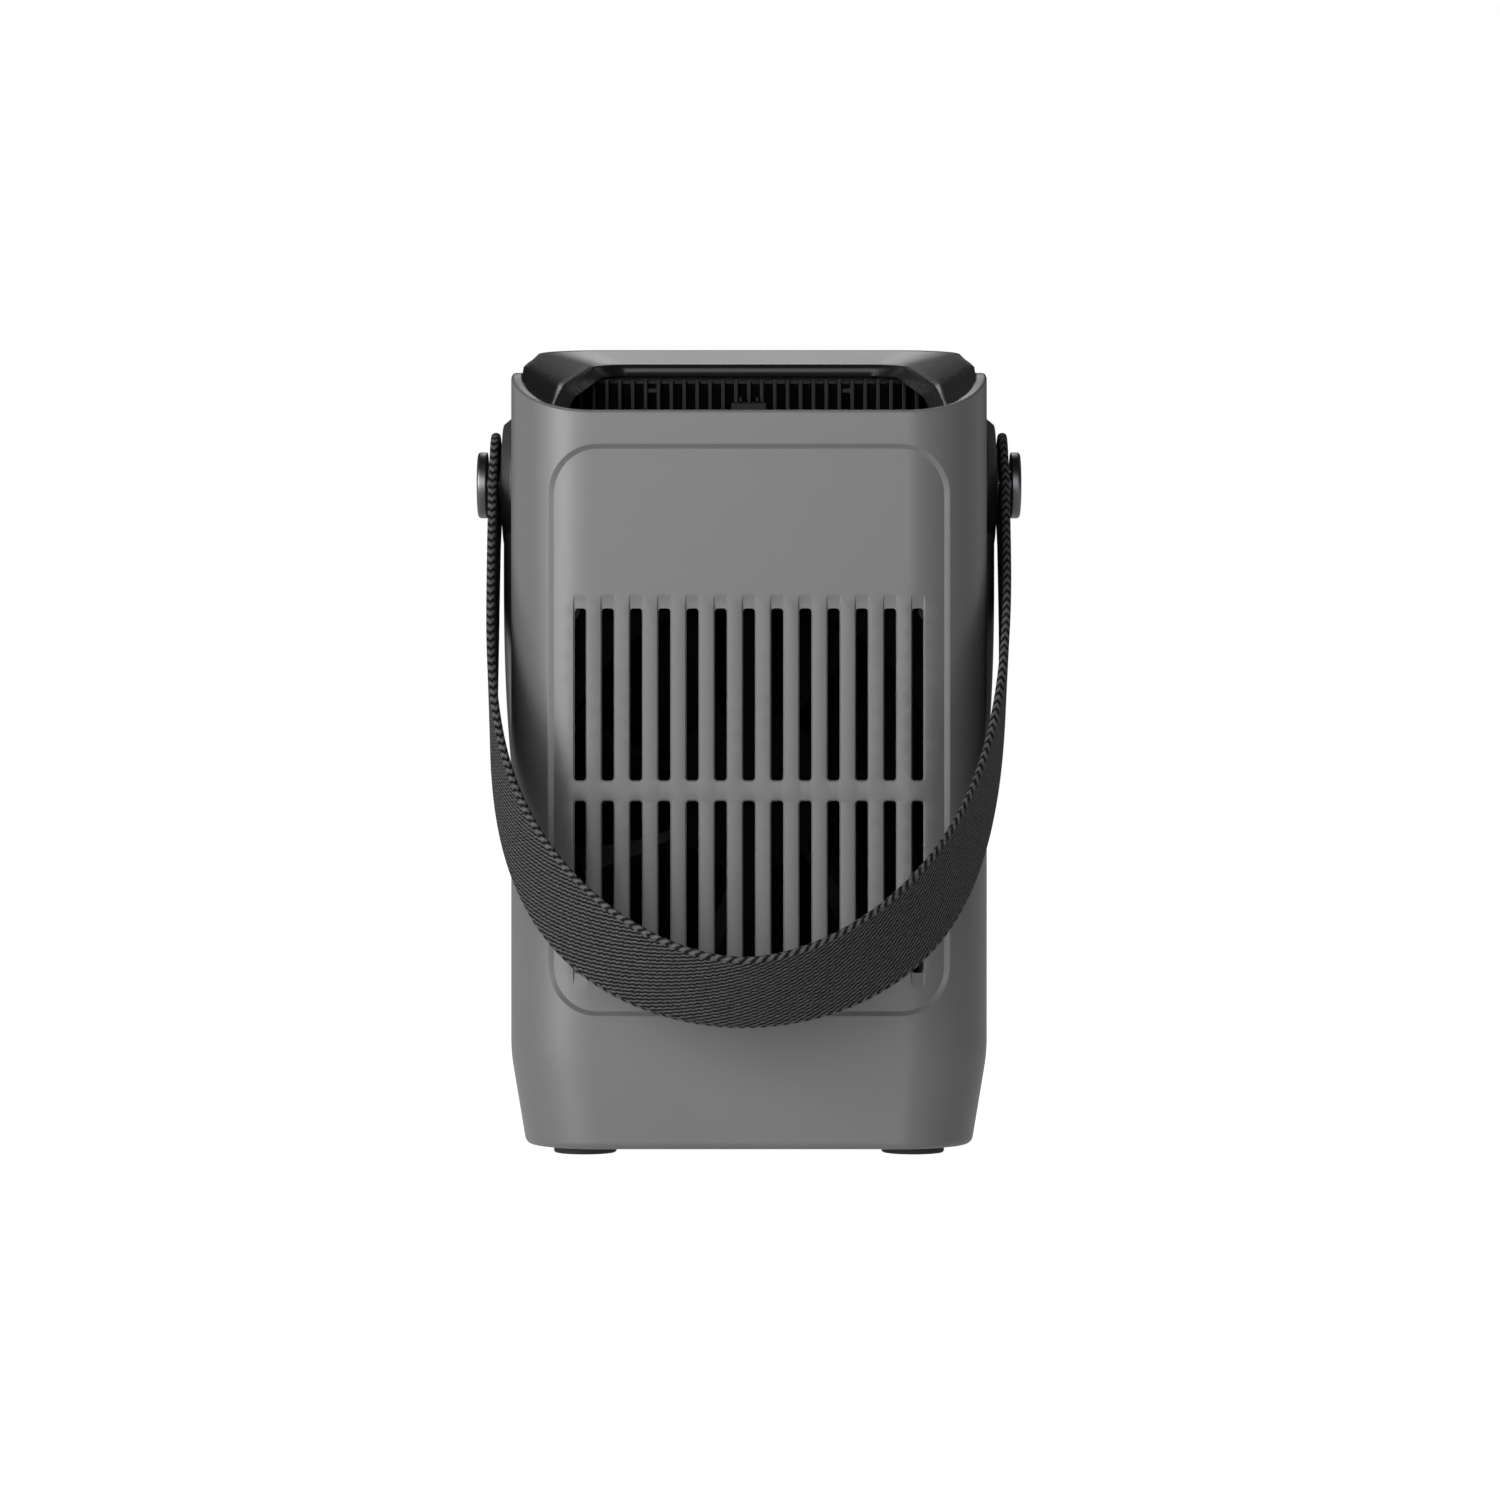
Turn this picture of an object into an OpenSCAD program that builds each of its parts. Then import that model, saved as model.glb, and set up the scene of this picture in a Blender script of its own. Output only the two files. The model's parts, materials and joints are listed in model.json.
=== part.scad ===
// Compact cordless box fan: a rounded square housing with a slotted front grille, a sloping
// black air collar with guard fins on top, and a webbing carrying loop that swings on two studs.
// Origin: centre of the plane that the four feet stand on. +Z is up and the front faces -Y.

/* [Housing] */
// Width of the housing
body_w = 110; // [108:0.5:114]
// Depth of the housing
body_d = 110; // [108:0.5:114]
// Radius of the four upright corners
corner_r = 19; // [17:0.5:20]
// Thickness of the housing walls
wall = 2.5; // [2:0.1:3]
// Height of the front lip above the floor
lip_z = 170.2; // [169:0.1:171]
// Height of the rim where the sides begin
side_rim_z = 180.4; // [180:0.1:181]
// Height of the rim at the back
back_rim_z = 186.8; // [185:0.1:187]
// How far each side leans in at the bottom
taper_in = 3.5; // [2:0.1:4]
// Height where the side taper begins
taper_z = 23; // [20:1:26]
// Distance from the middle to the seam between the front and rear shells
seam_y = 34; // [32:1:35]

/* [Grille] */
// Number of slot columns
slot_columns = 13; // [9:2:13]
// Distance between slot columns
slot_pitch = 6.42; // [6.2:0.02:6.42]
// Width of a slot
slot_w = 2.7; // [2.2:0.1:3]
// Height of the middle of the grille and of the fan
grille_z = 83.6; // [83:0.1:84]
// Length of a slot in either row
slot_len = 39.2; // [34:0.2:39.4]
// Solid bar between the two rows of slots
slot_gap = 4.6; // [4:0.1:6]

/* [Carrying loop] */
// Height of the studs that the loop turns on
pivot_z = 156.2; // [154:0.2:158]
// Width of the webbing
strap_w = 25; // [20:1:25]
// Thickness of the webbing
strap_t = 2.2; // [2:0.1:2.4]
// Outer half width of the loop
strap_half = 61.6; // [61.5:0.1:62]
// Length from the studs to the bottom of the loop
strap_len = 152.8; // [150:0.1:156]
// Lean of the loop from straight down, towards the front
strap_lean = 40; // [38:0.5:44]

/* [Fan] */
// Side of the fan frame
fan_side = 92; // [92:0.5:93]
// Depth of the fan frame
fan_depth = 25; // [25:0.5:26]
// Radius of the impeller
impeller_r = 42.4; // [40:0.2:42.4]
// Number of blades
blade_count = 7; // [5:1:9]

/* [Top louvre] */
// Number of guard fins
fin_count = 27; // [21:2:27]
// Distance between guard fins
fin_pitch = 3.19; // [3.1:0.01:3.19]
// Thickness of a guard fin
fin_t = 1.1; // [0.9:0.1:1.4]

/* [Power] */
// Diameter of a battery cell
cell_d = 18.4; // [18.2:0.1:18.6]
// Length of a battery cell
cell_len = 65; // [65:0.5:66]
// Diameter of the power button
button_d = 12; // [10:0.5:13]
// Travel of the power button
button_travel = 0.8; // [0.5:0.1:0.8]

/* [Hidden] */

$fn = 48;
tiny = 0.01;
half_w = body_w / 2;
half_d = body_d / 2;
foot_h = 2;
shell_z = foot_h;
corner_steps = 8;
front_slope = (side_rim_z - lip_z) / corner_r;

shell_grey = "#838383";
black = "#1c1c1d";
webbing_grey = "#38383a";
gunmetal = "#5b5c60";

// Recessed panel on the front and on the back
panel_half = 45.2;
panel_low = 32.4;
panel_high = 162.4;
panel_r = 11.5;
panel_deep = 0.5;

// Air collar: heights on planes that fall towards the front
collar_gap = 0.25;
collar_mid = 186.1;
collar_slope = 0.135;
mouth_mid = 181.5;
mouth_slope = 0.174;
mouth_wall = 3;
collar_skirt = 9;
collar_under_lip = 1.2;
mouth_back_half = 40;
mouth_front_half = 47;
mouth_back_y = 40.5;
mouth_front_y = -51;
mouth_back_r = 5;
mouth_front_r = 14;

// Louvre: a frame, a low guard over the whole mouth and a tall comb near the back
louvre_floor = 160;
louvre_half = 45.5;
louvre_front = -46;
louvre_back = 43;
louvre_wall = 1.6;
guard_front_z = 164.5;
guard_back_z = 167;
comb_toe = 27;
comb_y = 33;
comb_shelf_z = 173;
comb_top_z = 184.2;
louvre_screw_x = 43.9;
louvre_screw_y = 22;
louvre_screw_r = 0.7;

// Fan, behind the front grille
fan_front = -49;
fan_back = fan_front + fan_depth;
screw_at = 41.25;
hub_r = 18.5;
shaft_r = 1.5;
running_gap = 0.05;

// Carrying loop and its studs, from the housing outwards
boss_r = 16.3;
boss_out = 58.6;
strap_in = strap_half - strap_t;
washer_out = strap_in - 0.1;
stud_r = 3.5;
head_in = strap_half + 0.3;
head_out = 64.8;
head_r = 7.9;
strap_straight = 9;
strap_side_power = 1.825;
strap_end_power = 4.077;
strap_draw_in = 3;
strap_twist = 11.7;

// Battery bay in the base
floor_z = 5;
cell_pitch = 19;
cell_z = 17.4;
bay_z = 30.5;

// Control panel on the back
panel_mid_z = 58;
plate_w = 50;
plate_h = 20;
plate_out = half_d - 0.7;
plate_in = half_d - 3;
board_front = 44.6;
board_t = 1.6;
button_x = -15;
usb_x = 15;

// Rubber feet: one near each corner and one in the middle that carries the battery's weight
foot_at = 37.8;
foot_r = 7.25;
foot_places = [
    [-foot_at, -foot_at], [foot_at, -foot_at], [-foot_at, foot_at], [foot_at, foot_at], [0, 0]
];

// ---------- outlines and helpers ----------

function corner(cx, cy, r, from, steps = corner_steps) =
    [for (i = [0:steps]) [cx + r * cos(from + 90 * i / steps), cy + r * sin(from + 90 * i / steps)]];

function rounded(hx, hy, r) = concat(
    corner(hx - r, hy - r, r, 0), corner(-hx + r, hy - r, r, 90),
    corner(-hx + r, -hy + r, r, 180), corner(hx - r, -hy + r, r, 270));

// Heights of the collar's outer edge and of its mouth at a given depth
function under_lip(y) = lip_z + front_slope * (y + half_d) - collar_under_lip;
function collar_z(y) = min(collar_mid + collar_slope * y, under_lip(y));
function mouth_z(y) = min(mouth_mid + mouth_slope * y, under_lip(y));

function mouth_outline() = concat(
    corner(mouth_back_half - mouth_back_r, mouth_back_y - mouth_back_r, mouth_back_r, 0),
    corner(mouth_back_r - mouth_back_half, mouth_back_y - mouth_back_r, mouth_back_r, 90),
    corner(mouth_front_r - mouth_front_half, mouth_front_y + mouth_front_r, mouth_front_r, 180),
    corner(mouth_front_half - mouth_front_r, mouth_front_y + mouth_front_r, mouth_front_r, 270));

// A closed ring that is skinned through several outlines with the same number of points
module ring_skin(rings) {
    n = len(rings[0]);
    m = len(rings);
    polyhedron(
        points = [for (ring = rings) each ring],
        faces = [
            for (k = [0:m - 1], i = [0:n - 1])
                let (a = k * n + i, b = k * n + (i + 1) % n, c = ((k + 1) % m) * n + i,
                     d = ((k + 1) % m) * n + (i + 1) % n)
                    each [[a, c, b], [b, c, d]]
        ],
        convexity = 6);
}

// A prism whose outline is drawn in X and Z, reaching from y0 to y1
module along_y(y0, y1) {
    translate([0, y1, 0]) rotate([90, 0, 0]) linear_extrude(y1 - y0) children();
}

// A prism whose outline is drawn in Y and Z, reaching from x0 to x1
module along_x(x0, x1) {
    translate([x0, 0, 0]) rotate([90, 0, 90]) linear_extrude(x1 - x0) children();
}

module rod_y(x, z, y0, y1, r) {
    translate([x, y1, z]) rotate([90, 0, 0]) cylinder(h = y1 - y0, r = r);
}

module rod_x(y, z, x0, x1, r) {
    translate([x0, y, z]) rotate([0, 90, 0]) cylinder(h = x1 - x0, r = r);
}

module sides() {
    for (s = [-1, 1]) scale_x(s) children();
}

module scale_x(s) {
    if (s < 0) mirror([1, 0, 0]) children();
    else children();
}

// ---------- housing ----------

// The housing's outside, drawn smaller by an inset, from z0 up to the rim plus a raise
module housing_block(inset, z0, raise) {
    hx = half_w - inset;
    intersection() {
        translate([0, 0, z0])
            linear_extrude(back_rim_z + raise - z0)
                polygon(rounded(hx, half_d - inset, corner_r - inset));
        along_y(-half_d - 1, half_d + 1)
            polygon([
                [-hx + taper_in, shell_z - 1], [hx - taper_in, shell_z - 1], [hx, taper_z],
                [hx, back_rim_z + 20], [-hx, back_rim_z + 20], [-hx, taper_z]
            ]);
        along_x(-half_w - 1, half_w + 1)
            polygon([
                [-half_d, 0], [half_d, 0], [half_d, back_rim_z + raise],
                [corner_r - half_d, side_rim_z + raise], [-half_d, lip_z + raise]
            ]);
    }
}

module housing() {
    difference() {
        housing_block(0, shell_z, 0);
        housing_block(wall, shell_z - 5, 5);
    }
}

module slot_row(z0, y0, y1) {
    end_r = slot_w / 2 - 0.1;
    for (i = [0:slot_columns - 1])
        translate([(i - (slot_columns - 1) / 2) * slot_pitch, 0, z0 + slot_len / 2])
            along_y(y0, y1) polygon(rounded(slot_w / 2, slot_len / 2, end_r));
}

module panel_recess(y0, y1) {
    translate([0, 0, (panel_low + panel_high) / 2])
        along_y(y0, y1) polygon(rounded(panel_half, (panel_high - panel_low) / 2, panel_r));
}

module fan_screw_places() {
    for (x = [-screw_at, screw_at], z = [-screw_at, screw_at])
        translate([x, 0, grille_z + z]) children();
}

module front_shell() {
    boss_root = -half_d + wall - 0.2;
    boss_end = fan_front - 1.5;
    color(shell_grey) difference() {
        union() {
            difference() {
                housing();
                translate([-half_w - 1, seam_y, 0]) cube([body_w + 2, body_d, 220]);
            }
            fan_screw_places() rod_y(0, 0, boss_root, boss_end, 3.4);
        }
        panel_recess(-half_d - 1, -half_d + panel_deep);
        slot_row(grille_z + slot_gap / 2, -half_d - 1, boss_end + 1);
        slot_row(grille_z - slot_gap / 2 - slot_len, -half_d - 1, boss_end + 1);
        rod_x(0, pivot_z, -half_w - 1, half_w + 1, stud_r + 0.1);
        fan_screw_places() rod_y(0, 0, boss_root + 0.5, boss_end + 1, 1.5);
    }
}

module rear_shell() {
    lip_in = wall + 0.1;
    color(shell_grey) difference() {
        union() {
            intersection() {
                housing();
                translate([-half_w - 1, seam_y + 0.3, 0]) cube([body_w + 2, body_d, 220]);
            }
            // Tongue that locates the rear shell inside the front one
            intersection() {
                difference() {
                    housing_block(lip_in, shell_z + 4, -12);
                    housing_block(lip_in + 1.2, shell_z - 5, 5);
                }
                translate([-half_w, seam_y - 3, 0]) cube([body_w, 6, 200]);
            }
            // Strips that join the tongue to the wall behind the seam
            intersection() {
                difference() {
                    housing_block(wall - 0.3, shell_z + 4, -12);
                    housing_block(lip_in + 1.2, shell_z - 5, 5);
                }
                translate([-half_w, seam_y + 0.3, 0]) cube([body_w, 2.7, 200]);
            }
            for (x = [-29.5, 29.5], z = [-14.5, 14.5])
                rod_y(x, panel_mid_z + z, board_front + board_t, half_d - wall + 0.2, 2.8);
        }
        panel_recess(half_d - panel_deep, half_d + 1);
        slot_row(grille_z + slot_gap / 2, half_d - wall - 1, half_d + 1);
        translate([0, 0, panel_mid_z])
            along_y(half_d - wall - 1, half_d + 1)
                polygon(rounded(plate_w / 2 + 0.15, plate_h / 2 + 0.15, 4));
        for (x = [-29.5, 29.5], z = [-14.5, 14.5])
            rod_y(x, panel_mid_z + z, board_front, half_d - wall - 0.5, 0.9);
    }
}

module base_plate() {
    edge = wall + 0.25;
    color(shell_grey) difference() {
        intersection() {
            housing_block(edge, shell_z - 1, 0);
            translate([-half_w, -half_d, shell_z + 0.3]) cube([body_w, body_d, floor_z - shell_z - 0.3]);
        }
        for (at = foot_places) translate(at) cylinder(h = shell_z + 0.8, r = foot_r + 0.1);
        for (x = [-45, 45], y = [-20, 20])
            translate([x, y, 0]) cylinder(h = 10, r = 1.6);
    }
}

module base_screws() {
    color("silver") for (x = [-45, 45], y = [-20, 20]) translate([x, y, 0]) {
        translate([0, 0, shell_z + 0.3]) cylinder(h = floor_z - shell_z + 5, r = 1.5);
        translate([0, 0, shell_z - 0.6]) cylinder(h = 0.9, r = 2.8);
    }
}

module foot(x, y) {
    color(black) translate([x, y, 0])
        rotate_extrude() polygon([
            [0, 0], [foot_r - 0.5, 0], [foot_r, 0.5], [foot_r, shell_z + 0.8], [0, shell_z + 0.8]
        ]);
}

// ---------- air collar and louvre ----------

module top_collar() {
    hx = half_w - wall - collar_gap;
    hy = half_d - wall - collar_gap;
    outer = rounded(hx, hy, corner_r - wall - collar_gap);
    mouth = mouth_outline();
    color(black) ring_skin([
        [for (p = outer) [p.x, p.y, collar_z(p.y) - collar_skirt]],
        [for (p = outer) [p.x, p.y, collar_z(p.y)]],
        [for (p = mouth) [p.x, p.y, mouth_z(p.y)]],
        [for (p = mouth) [p.x, p.y, mouth_z(p.y) - mouth_wall]]
    ]);
}

// The walls that carry the guard and the comb, with four screw bosses
module louvre_frame() {
    inner_half = louvre_half - louvre_wall;
    color(black) difference() {
        union() {
            sides() along_x(inner_half, louvre_half) polygon([
                [louvre_back, louvre_floor], [louvre_back, comb_top_z - 0.2],
                [louvre_front, guard_front_z + 4.2], [louvre_front, louvre_floor]
            ]);
            translate([-inner_half - tiny, louvre_front, louvre_floor])
                cube([2 * inner_half + 2 * tiny, louvre_wall, guard_front_z + 1 - louvre_floor]);
            louvre_screw_places() cylinder(h = 6, r = louvre_half - louvre_screw_x);
        }
        louvre_screw_places() translate([0, 0, -1]) cylinder(h = 6, r = louvre_screw_r);
    }
}

module fin_places() {
    for (i = [0:fin_count - 1])
        translate([(i - (fin_count - 1) / 2) * fin_pitch, 0, 0]) children();
}

// Low fins on three cross bars
module louvre_grille() {
    first = louvre_front + louvre_wall;
    bar_half = (fin_count - 1) / 2 * fin_pitch;
    color(black) {
        fin_places() along_x(-fin_t / 2, fin_t / 2) polygon([
            [first, louvre_floor], [comb_toe, louvre_floor], [comb_toe, guard_back_z],
            [first, guard_front_z]
        ]);
        for (y = [first, (first + comb_toe) / 2, comb_toe - louvre_wall])
            translate([-bar_half, y, louvre_floor]) cube([2 * bar_half, louvre_wall, 2.4]);
    }
}

// Tall fins in front of a back wall, with two short bridges that stiffen them
module louvre_comb() {
    inner_half = louvre_half - louvre_wall;
    color(black) {
        fin_places() along_x(-fin_t / 2, fin_t / 2) polygon([
            [comb_toe, louvre_floor], [louvre_back, louvre_floor], [louvre_back, comb_top_z + 0.1],
            [comb_y + 7, comb_top_z + 0.4], [comb_y, comb_top_z], [comb_y, comb_shelf_z],
            [comb_toe, guard_back_z]
        ]);
        translate([-inner_half, louvre_back - louvre_wall, louvre_floor])
            cube([2 * inner_half, louvre_wall, comb_top_z - 0.2 - louvre_floor]);
        sides() translate([7 * fin_pitch, comb_y + 0.6, comb_top_z - 3.2])
            cube([fin_pitch, 2, 1.1]);
    }
}

// Snap latch that locks the comb to the collar; it rests on the comb's sloping toe
module louvre_latch() {
    latch_half = 4.4;
    latch_front = comb_y - 3.4;
    latch_top = comb_top_z - 5.8;
    toe_rise = (comb_shelf_z - guard_back_z) / (comb_y - comb_toe);
    color(black) {
        along_x(-latch_half, latch_half) polygon([
            [latch_front, guard_back_z + toe_rise * (latch_front - comb_toe)],
            [comb_y, comb_shelf_z], [comb_y, latch_top], [latch_front, latch_top]
        ]);
        sides() translate([1.6, latch_front + 0.8, latch_top - tiny]) cube([0.9, 2.2, 1.4]);
    }
}

module louvre_screw_places() {
    for (x = [-louvre_screw_x, louvre_screw_x], y = [-louvre_screw_y, louvre_screw_y])
        translate([x, y, louvre_floor]) children();
}

module louvre_screws() {
    color("silver") louvre_screw_places() {
        translate([0, 0, -1.4]) cylinder(h = 1.4, r = 1.9);
        translate([0, 0, -0.2]) cylinder(h = 4.2, r = louvre_screw_r);
    }
}

// ---------- side mounts, studs and loop ----------

module side_rail(s) {
    scale_x(s) color(black) difference() {
        along_y(-11, 11) polygon([
            [half_w, 80], [half_w + 1.3, 84], [half_w + 2.4, 95], [half_w + 3, 115],
            [half_w + 3.2, 138], [half_w + 3.2, 150], [half_w, 150]
        ]);
        rod_x(0, pivot_z, half_w - 1, boss_out + 1, boss_r + 0.1);
    }
}

module pivot_boss(s) {
    scale_x(s) color(black) difference() {
        translate([half_w, 0, pivot_z]) rotate([0, 90, 0]) rotate_extrude() polygon([
            [0, 0], [boss_r, 0], [boss_r, 0.6], [boss_r - 2, boss_out - half_w], [0, boss_out - half_w]
        ]);
        rod_x(0, pivot_z, half_w - 1, boss_out + 1, stud_r + 0.1);
    }
}

module washer(s) {
    scale_x(s) color(black) difference() {
        rod_x(0, pivot_z, boss_out, washer_out, 9);
        rod_x(0, pivot_z, boss_out - 1, washer_out + 1, stud_r + 0.1);
    }
}

module stud(s) {
    scale_x(s) color(gunmetal) translate([0, 0, pivot_z]) rotate([0, 90, 0]) {
        translate([0, 0, half_w - 8]) cylinder(h = head_in - half_w + 8.2, r = stud_r);
        translate([0, 0, head_in]) rotate_extrude() polygon([
            [0, 0], [head_r, 0], [head_r, 1.2], [head_r - 0.9, head_out - head_in],
            [0, head_out - head_in]
        ]);
    }
}

module stud_nut(s) {
    scale_x(s) color("silver") difference() {
        translate([half_w - wall - 4, 0, pivot_z]) rotate([0, 90, 0]) cylinder(h = 4, r = 6.4, $fn = 6);
        rod_x(0, pivot_z, half_w - wall - 5, half_w, stud_r);
    }
}

// Middle line of the loop in its own plane, from a stud down to the bottom as t goes from 0 to 90
function loop_at(t) =
    let (reach = pow(sin(t), 2 / strap_end_power), side = pow(cos(t), 2 / strap_side_power))
    [(strap_half - strap_t / 2 - strap_draw_in * reach) * side,
     strap_straight + (strap_len - strap_t / 2 - strap_straight) * reach];

// One cross-section of the webbing: x, along the loop, and across the band. The band turns its
// rear edge outwards between the studs and the bottom.
function loop_section(place, outward, turn) = [
    for (c = [[-1, -1], [1, -1], [1, 1], [-1, 1]])
        let (across = c.x * strap_w / 2, through = c.y * strap_t / 2,
             out = through * cos(turn) + across * sin(turn))
        [place.x + outward.x * out, place.y + outward.y * out,
         across * cos(turn) - through * sin(turn)]];

function loop_half() = concat(
    [for (v = [-strap_w / 2 - 1, strap_straight])
        loop_section([strap_half - strap_t / 2, v], [1, 0], 0)],
    [for (t = [1, 2.5, 5, 7.5, 10, 14, 18, 22, 27, 32, 37, 42, 47, 52, 57, 62, 67, 72, 77, 82, 86])
        let (run = loop_at(t + 0.5) - loop_at(t - 0.5), n = run / norm(run))
        loop_section(loop_at(t), [n.y, -n.x], strap_twist * pow(sin(2 * t), 2))],
    [loop_section(loop_at(90), [0, 1], 0)]);

function mirrored_rings(rings) = [
    for (i = [len(rings) - 2:-1:0]) [for (p = rings[i]) [-p.x, p.y, p.z]]];

module strap_frame() {
    translate([0, 0, pivot_z]) rotate([-(90 + strap_lean), 0, 0]) children();
}

module strap_webbing() {
    rings = let (half = loop_half()) concat(half, mirrored_rings(half));
    last = 4 * (len(rings) - 1);
    sides = [for (r = [0:len(rings) - 2], i = [0:3])
        let (a = 4 * r + i, b = 4 * r + (i + 1) % 4)
        each [[a, b, b + 4], [a, b + 4, a + 4]]];
    color(webbing_grey) difference() {
        strap_frame() intersection() {
            polyhedron([for (ring = rings) each ring],
                concat(sides, [[3, 2, 1, 0], [last, last + 1, last + 2, last + 3]]));
            union() {
                rod_x(0, 0, -strap_half - 1, strap_half + 1, strap_w / 2);
                translate([-strap_half - 1, 0, -strap_w / 2 - 1])
                    cube([2 * strap_half + 2, strap_len + 1, strap_w + 2]);
            }
        }
        rod_x(0, pivot_z, -strap_half - 1, strap_half + 1, 4.6);
    }
}

module eyelet(s) {
    scale_x(s) color("silver") difference() {
        rod_x(0, pivot_z, strap_in, strap_half, 4.6);
        rod_x(0, pivot_z, strap_in - 1, strap_half + 1, stud_r + running_gap);
    }
}

// ---------- fan ----------

module fan_frame() {
    color(black) difference() {
        translate([0, 0, grille_z])
            along_y(fan_front, fan_back) polygon(rounded(fan_side / 2, fan_side / 2, 6));
        rod_y(0, grille_z, fan_front - 1, fan_back + 1, impeller_r + 0.9);
        fan_screw_places() rod_y(0, 0, fan_front - 1, fan_back + 1, 2.2);
    }
}

// Pointed oval bridge across the front of the duct, with the round plate that closes the hub and
// the tube that holds the bearings
module motor_bridge() {
    oval_half = 7.1;
    oval_reach = 30.2;
    arc_r = (oval_reach * oval_reach + oval_half * oval_half) / (2 * oval_half);
    tip = impeller_r + 0.9;
    color(black) difference() {
        union() {
            intersection() {
                rod_y(oval_half - arc_r, grille_z, fan_front, fan_front + 2.6, arc_r);
                rod_y(arc_r - oval_half, grille_z, fan_front, fan_front + 2.6, arc_r);
            }
            translate([-2, fan_front, grille_z - tip]) cube([4, 2.6, 2 * tip]);
            rod_y(0, grille_z, fan_front + 1.4, fan_front + 2.6, hub_r);
            rod_y(0, grille_z, fan_front + 2, fan_front + 17, 5.5);
        }
        rod_y(0, grille_z, fan_front + 3.5, fan_front + 18, 4);
    }
}

module stator() {
    color("peru") difference() {
        union() {
            rod_y(0, grille_z, fan_front + 6, fan_front + 15, 8);
            for (i = [0:3]) translate([0, fan_front + 6, grille_z]) rotate([0, 90 * i, 0])
                translate([-3.5, 0, 0]) cube([7, 9, 14.3]);
        }
        rod_y(0, grille_z, fan_front + 4, fan_front + 16, 5.5);
    }
}

module bearing(y0) {
    color("silver") difference() {
        rod_y(0, grille_z, y0, y0 + 4, 4);
        rod_y(0, grille_z, y0 - 1, y0 + 5, shaft_r + running_gap);
    }
}

module motor_shaft() {
    color("silver") rod_y(0, grille_z, fan_front + 4, fan_back - 3, shaft_r);
}

module rotor_yoke() {
    color("dimgray") difference() {
        rod_y(0, grille_z, fan_front + 6, fan_back - 5, hub_r - 1.5);
        rod_y(0, grille_z, fan_front + 5, fan_back - 6, hub_r - 3.6);
        rod_y(0, grille_z, fan_front + 5, fan_back, shaft_r);
    }
}

module impeller() {
    blade_h = 17;
    color(black) {
        difference() {
            rod_y(0, grille_z, fan_front + 5, fan_back - 3, hub_r);
            rod_y(0, grille_z, fan_front + 4, fan_back - 5, hub_r - 1.5);
            rod_y(0, grille_z, fan_front + 4, fan_back, shaft_r);
        }
        translate([0, fan_back - 3.4, grille_z]) rotate([90, 0, 0])
            for (i = [0:blade_count - 1]) rotate([0, 0, 360 * i / blade_count])
                linear_extrude(blade_h, twist = 42, slices = 4)
                    polygon([
                        [hub_r - 0.6, -0.8], [28, -2.2], [impeller_r - 1, -6], [impeller_r - 0.4, -4.6],
                        [28, -0.6], [hub_r - 0.6, 0.8]
                    ]);
    }
}

module fan_screws() {
    color("silver") fan_screw_places() {
        rod_y(0, 0, fan_front - 3, fan_back + 0.1, 1.5);
        rod_y(0, 0, fan_back, fan_back + 1.8, 2.9);
    }
}

module fan_grommets() {
    color(black) fan_screw_places() difference() {
        rod_y(0, 0, fan_front - 1.5, fan_front, 2.6);
        rod_y(0, 0, fan_front - 2, fan_front + 1, 1.6);
    }
}

// ---------- battery bay ----------

module cell_places() {
    for (i = [0:3]) translate([0, (i - 1.5) * cell_pitch, cell_z]) children();
}

module battery_cells() {
    color("teal") cell_places() {
        rod_x(0, 0, -cell_len / 2, cell_len / 2 - 1.5, cell_d / 2);
        rod_x(0, 0, cell_len / 2 - 1.6, cell_len / 2, 3);
    }
}

module cell_tray() {
    reach = cell_len / 2 + 1;
    color(black) difference() {
        translate([-reach - 2, -2.2 * cell_pitch, floor_z])
            cube([2 * reach + 4, 4.4 * cell_pitch, cell_z - floor_z - 3]);
        cell_places() rod_x(0, 0, -reach, reach, cell_d / 2 + 0.1);
    }
}

module cell_strips() {
    color("gainsboro") for (pair = [-1, 1]) sides()
        translate([cell_len / 2, pair * cell_pitch - 13, cell_z - 2.9]) cube([0.3, 26, 5.8]);
}

module battery_board() {
    color("darkgreen") translate([-28, -12, cell_z + cell_d / 2 + 0.3]) cube([56, 24, 1.2]);
    color("dimgray") for (x = [-18, -6, 6])
        translate([x, -4, cell_z + cell_d / 2 + 1.5 - tiny]) cube([6, 5, 1.1]);
}

// Lid of the battery bay; its four legs stand on the base plate
module bay_cover() {
    color(black) difference() {
        union() {
            translate([-48, -21, bay_z]) cube([96, 62, 2]);
            for (x = [-42, 42], y = [-10, 34])
                translate([x, y, floor_z]) cylinder(h = bay_z - floor_z + 1, r = 4);
        }
        for (x = [-42, 42], y = [-10, 34])
            translate([x, y, floor_z + 10]) cylinder(h = bay_z, r = 1.2);
        translate([-34, 30, bay_z - 1]) cube([10, 6, 5]);
    }
}

module bay_screws() {
    color("silver") for (x = [-42, 42], y = [-10, 34]) translate([x, y, bay_z + 2]) {
        translate([0, 0, -10]) cylinder(h = 10.1, r = 1.2);
        cylinder(h = 1.6, r = 2.6);
    }
}

// ---------- controls on the back ----------

module main_board() {
    difference() {
        color("darkgreen") translate([-33, board_front, panel_mid_z - 18]) cube([66, board_t, 36]);
        for (x = [-29.5, 29.5], z = [-14.5, 14.5])
            rod_y(x, panel_mid_z + z, board_front - 1, board_front + 3, 1.2);
    }
    color("dimgray") translate([-6, board_front - 1.2 + tiny, panel_mid_z - 5]) cube([10, 1.2, 10]);
    color("ivory") translate([-26, board_front - 4, panel_mid_z - 15]) cube([8, 4 + tiny, 5]);
    color("ivory") translate([16, board_front - 4, panel_mid_z - 15]) cube([8, 4 + tiny, 5]);
}

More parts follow.
